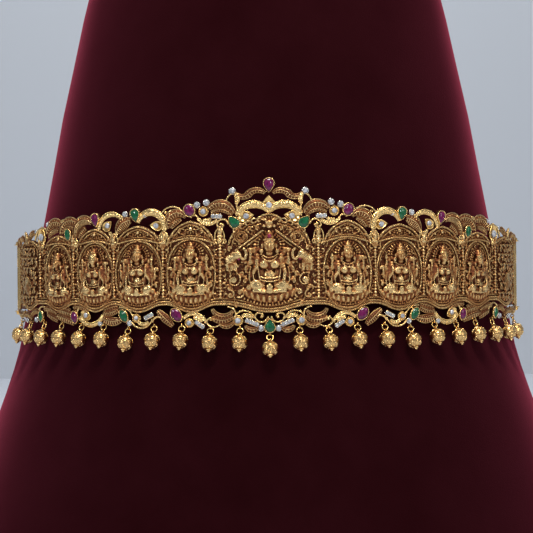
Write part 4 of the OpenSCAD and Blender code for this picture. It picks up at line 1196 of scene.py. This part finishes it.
def addBump(tree, source, values):
    bump = addNode(tree, "ShaderNodeBump", values)
    tree.links.new(source, bump.inputs["Height"])
    return bump

# gold of patina, wear and painted light: tone 0 is a dark recess, patina and painted shade, 1 a polished edge, wear
# and painted highlight
def wornAndShadedGoldGroup():
    tree = bpy.data.node_groups.new("wornAndShadedGold", "ShaderNodeTree")
    link = tree.links.new
    for name, value in (("Age", 0.5), ("Stipple", 0)):
        socket = tree.interface.new_socket(name, in_out="INPUT", socket_type="NodeSocketFloat")
        socket.min_value, socket.max_value, socket.default_value = 0, 1, value
    for name, kind in (("Colour", "Color"), ("Roughness", "Float"), ("Metallic", "Float"), ("Normal", "Vector")):
        tree.interface.new_socket(name, in_out="OUTPUT", socket_type="NodeSocket" + kind)
    start = tree.nodes.new("NodeGroupInput")
    end = tree.nodes.new("NodeGroupOutput")
    tone = addNode(tree, "ShaderNodeAttribute", attribute_name="tone")
    patches, grain, dots = addTextures(
        tree, ("ShaderNodeTexNoise", {"Scale": 260, "Detail": 4, "Roughness": 0.6}),
        ("ShaderNodeTexNoise", {"Scale": 1500, "Detail": 2}), ("ShaderNodeTexVoronoi", {"Scale": 1700}))
    shifted = addNode(tree, "ShaderNodeMath", {1: 0.36}, operation="MULTIPLY_ADD")
    link(patches.outputs["Fac"], shifted.inputs[0])
    link(tone.outputs["Fac"], shifted.inputs[2])
    agedAndShaded = addNode(tree, "ShaderNodeMath", operation="SUBTRACT")
    link(shifted.outputs[0], agedAndShaded.inputs[0])
    link(start.outputs["Age"], agedAndShaded.inputs[1])
    wearAndShade = agedAndShaded.outputs[0]
    # colours run from patina and painted shade at 0 to polished gold and painted highlight at 1
    stops = [(0.0, (0.165, 0.042, 0.011, 1)), (0.22, (0.3, 0.105, 0.035, 1)), (0.42, (0.5, 0.245, 0.085, 1)),
             (0.62, (0.76, 0.49, 0.2, 1)), (0.8, (0.9, 0.65, 0.3, 1)), (1.0, (0.95, 0.64, 0.26, 1))]
    fine = addBump(tree, grain.outputs["Fac"], {"Strength": 0.16, "Distance": 0.0002})
    stipple = addBump(tree, dots.outputs["Distance"], {"Distance": 0.0003})
    link(start.outputs["Stipple"], stipple.inputs["Strength"])
    link(fine.outputs["Normal"], stipple.inputs["Normal"])
    link(addRamp(tree, wearAndShade, stops), end.inputs["Colour"])
    link(addRange(tree, wearAndShade, {"From Min": 0.0, "From Max": 0.8, "To Min": 0.5, "To Max": 0.2}),
         end.inputs["Roughness"])
    link(addRange(tree, wearAndShade, {"From Min": 0.0, "From Max": 0.3, "To Min": 0.55, "To Max": 1.0}),
         end.inputs["Metallic"])
    link(stipple.outputs["Normal"], end.inputs["Normal"])
    return tree

wornAndShadedGold = wornAndShadedGoldGroup()

def goldMaterial(name, age, stipple):
    material, tree, surface = newMaterial(name)
    group = tree.nodes.new("ShaderNodeGroup")
    group.node_tree = wornAndShadedGold
    group.inputs["Age"].default_value = age
    group.inputs["Stipple"].default_value = stipple
    for output, place in (("Colour", "Base Color"), ("Roughness", "Roughness"), ("Metallic", "Metallic"),
                          ("Normal", "Normal")):
        tree.links.new(group.outputs[output], surface.inputs[place])
    return material

def plainMetal(name, colour, roughness):
    material, tree, surface = newMaterial(name, {"Base Color": colour, "Metallic": 1})
    grain = addTextures(tree, ("ShaderNodeTexNoise", {"Scale": 700, "Detail": 3}))[0].outputs["Fac"]
    bump = addBump(tree, grain, {"Strength": 0.12, "Distance": 0.0003})
    spread = addRange(tree, grain, {"To Min": roughness - 0.06, "To Max": roughness + 0.1})
    tree.links.new(bump.outputs["Normal"], surface.inputs["Normal"])
    tree.links.new(spread, surface.inputs["Roughness"])
    return material

def gemMaterial(name, deep, bright):
    material, tree, surface = newMaterial(name, {"Roughness": 0.16, "IOR": 1.6})
    cells = addTextures(tree, ("ShaderNodeTexVoronoi", {"Scale": 750}))[0]
    shade = addRamp(tree, cells.outputs["Distance"], [(0.0, deep), (1.0, bright)])
    tree.links.new(shade, surface.inputs["Base Color"])
    return material

def velvetMaterial():
    material, tree, surface = newMaterial("velvetCloth", {
        "Roughness": 0.95, "Specular IOR Level": 0, "Sheen Weight": 0.85, "Sheen Roughness": 0.42,
        "Sheen Tint": (0.5, 0.075, 0.13, 1)})
    broad, nap = addTextures(tree, ("ShaderNodeTexNoise", {"Scale": 22, "Detail": 4, "Roughness": 0.6}),
                             ("ShaderNodeTexNoise", {"Scale": 1800, "Detail": 2}))
    stops = [(0.3, (0.0135, 0.0019, 0.0026, 1)), (0.75, (0.0205, 0.0032, 0.0045, 1))]
    bump = addBump(tree, nap.outputs["Fac"], {"Strength": 0.35, "Distance": 0.0004})
    tree.links.new(addRamp(tree, broad.outputs["Fac"], stops), surface.inputs["Base Color"])
    tree.links.new(bump.outputs["Normal"], surface.inputs["Normal"])
    return material

antiqueGold = goldMaterial("antiqueGold", 0.24, 0.42)
leafGold = goldMaterial("leafGold", 0.3, 0.1)
hornGold = goldMaterial("hornGold", 0.0, 0.7)
beadGold = goldMaterial("beadGold", 0.1, 0.1)
polishedGold = plainMetal("polishedGold", (0.93, 0.6, 0.22, 1), 0.2)
silverMetal = plainMetal("silverMetal", (0.83, 0.8, 0.74, 1), 0.2)
gems = {"ruby": gemMaterial("rubyGlass", (0.04, 0.0, 0.02, 1), (0.22, 0.004, 0.1, 1)),
        "emerald": gemMaterial("emeraldGlass", (0.0, 0.035, 0.012, 1), (0.004, 0.17, 0.055, 1))}
clearGlass = gemMaterial("clearGlass", (0.16, 0.17, 0.19, 1), (0.8, 0.82, 0.86, 1))
pinkGlass = gemMaterial("pinkGlass", (0.18, 0.004, 0.03, 1), (0.4, 0.02, 0.1, 1))

def wear(material, *objects):
    for obj in objects:
        obj.data.materials.clear()
        obj.data.materials.append(material)

wear(antiqueGold, archPlate, groundLeft, groundRight, ropesThick, ropesThin, crescentField, budColumns,
     figuresLeft, figureMiddle, figuresRight)
wear(leafGold, leafRibs, leafBacks)
wear(hornGold, brightScrolls)
wear(polishedGold, endStrip, goldRings)
wear(silverMetal, silverClaws)
wear(clearGlass, clearStones)
wear(pinkGlass, pinkStones)
wear(beadGold, *beadPieces)
wear(velvetMaterial(), velvet)
for kind, pieces in stonePieces.items():
    wear(gems[kind], *pieces)
for name in ("back_band", "hinge_pin_left", "hinge_pin_right", "jump_rings"):
    wear(polishedGold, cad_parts[name])
print("materials ready")

# room: pale floor, bluish wall, soft lights
room = {"backAt": 1.178, "wide": 3.0, "front": 2.2, "tall": 3.0}

def roomMaterial(name, colour):
    return newMaterial(name, {"Base Color": colour, "Roughness": 0.85})[0]

# the wall can't be seen from behind, so that the belt's back can be looked at
def openBehind(material):
    tree = material.node_tree
    side = tree.nodes.new("ShaderNodeNewGeometry")
    clear = tree.nodes.new("ShaderNodeBsdfTransparent")
    mix = tree.nodes.new("ShaderNodeMixShader")
    tree.links.new(side.outputs["Backfacing"], mix.inputs["Fac"])
    tree.links.new(tree.nodes["Principled BSDF"].outputs["BSDF"], mix.inputs[1])
    tree.links.new(clear.outputs["BSDF"], mix.inputs[2])
    tree.links.new(mix.outputs["Shader"], tree.nodes["Material Output"].inputs["Surface"])
    return material

# a sheet across the room between two edges, each at its y and z
def sheet(name, near, far, material):
    bm = bmesh.new()
    bmesh.ops.create_grid(bm, x_segments=1, y_segments=1, size=1)
    for v in bm.verts:
        v.co = (v.co.x * room["wide"], *(far if v.co.y > 0 else near))
    obj = makeObject(name, meshFrom(bm, name))
    wear(material, obj)
    return obj

tableTop = sheet("tableTop", (-room["front"], 0), (room["backAt"], 0),
                 roomMaterial("paleTable", (0.73, 0.76, 0.81, 1)))
backdrop = sheet("backdrop", (room["backAt"], 0), (room["backAt"], room["tall"]),
                 openBehind(roomMaterial("greyBlue", (0.59, 0.62, 0.66, 1))))

# lights: place, point aimed at, size, power, colour
onBelt = (0, -0.1, 0.17)
lights = {
    "overhead": ((0.05, -0.55, 1.15), onBelt, (0.4, 0.22), 7.2, (1, 0.96, 0.9)),
    "leftSoft": ((-1.0, -0.9, 0.65), onBelt, (0.1, 0.12), 3.0, (0.97, 0.98, 1)),
    "rightSoft": ((1.0, -0.8, 0.6), onBelt, (0.3, 0.5), 2.2, (1, 0.96, 0.9)),
    "frontLow": ((0.35, -1.4, 0.62), onBelt, (0.08, 0.08), 1.1, (1, 1, 1)),
    "wallWash": ((0, 0.3, 1.6), (0, room["backAt"], 0.5), (1.6, 0.4), 10, (0.95, 0.97, 1)),
}
for name, (at, aim, size, power, colour) in lights.items():
    data = bpy.data.lights.new(name, "AREA")
    data.shape = "RECTANGLE"
    data.size, data.size_y = size
    data.energy = power
    data.color = colour
    lamp = makeObject(name, data)
    lamp.location = at
    lamp.rotation_euler = (Vector(aim) - Vector(at)).to_track_quat("-Z", "Y").to_euler()
world = bpy.data.worlds.new("paleRoom")
world.use_nodes = True
sky = world.node_tree.nodes["Background"].inputs
sky["Color"].default_value = (0.72, 0.78, 0.9, 1)
sky["Strength"].default_value = 0.28
bpy.context.scene.world = world
bpy.context.scene.view_settings.view_transform = "Standard"

lens = bpy.data.cameras.new("camera")
lens.sensor_width = 36
lens.angle = math.radians(24.3)
camera = makeObject("camera", lens)
camera.location = (-0.0083, -0.7628, 0.169)
camera.rotation_euler = [math.radians(turn) for turn in (90.09, 0.48, -0.6)]
bpy.context.scene.camera = camera

print("scene ready")
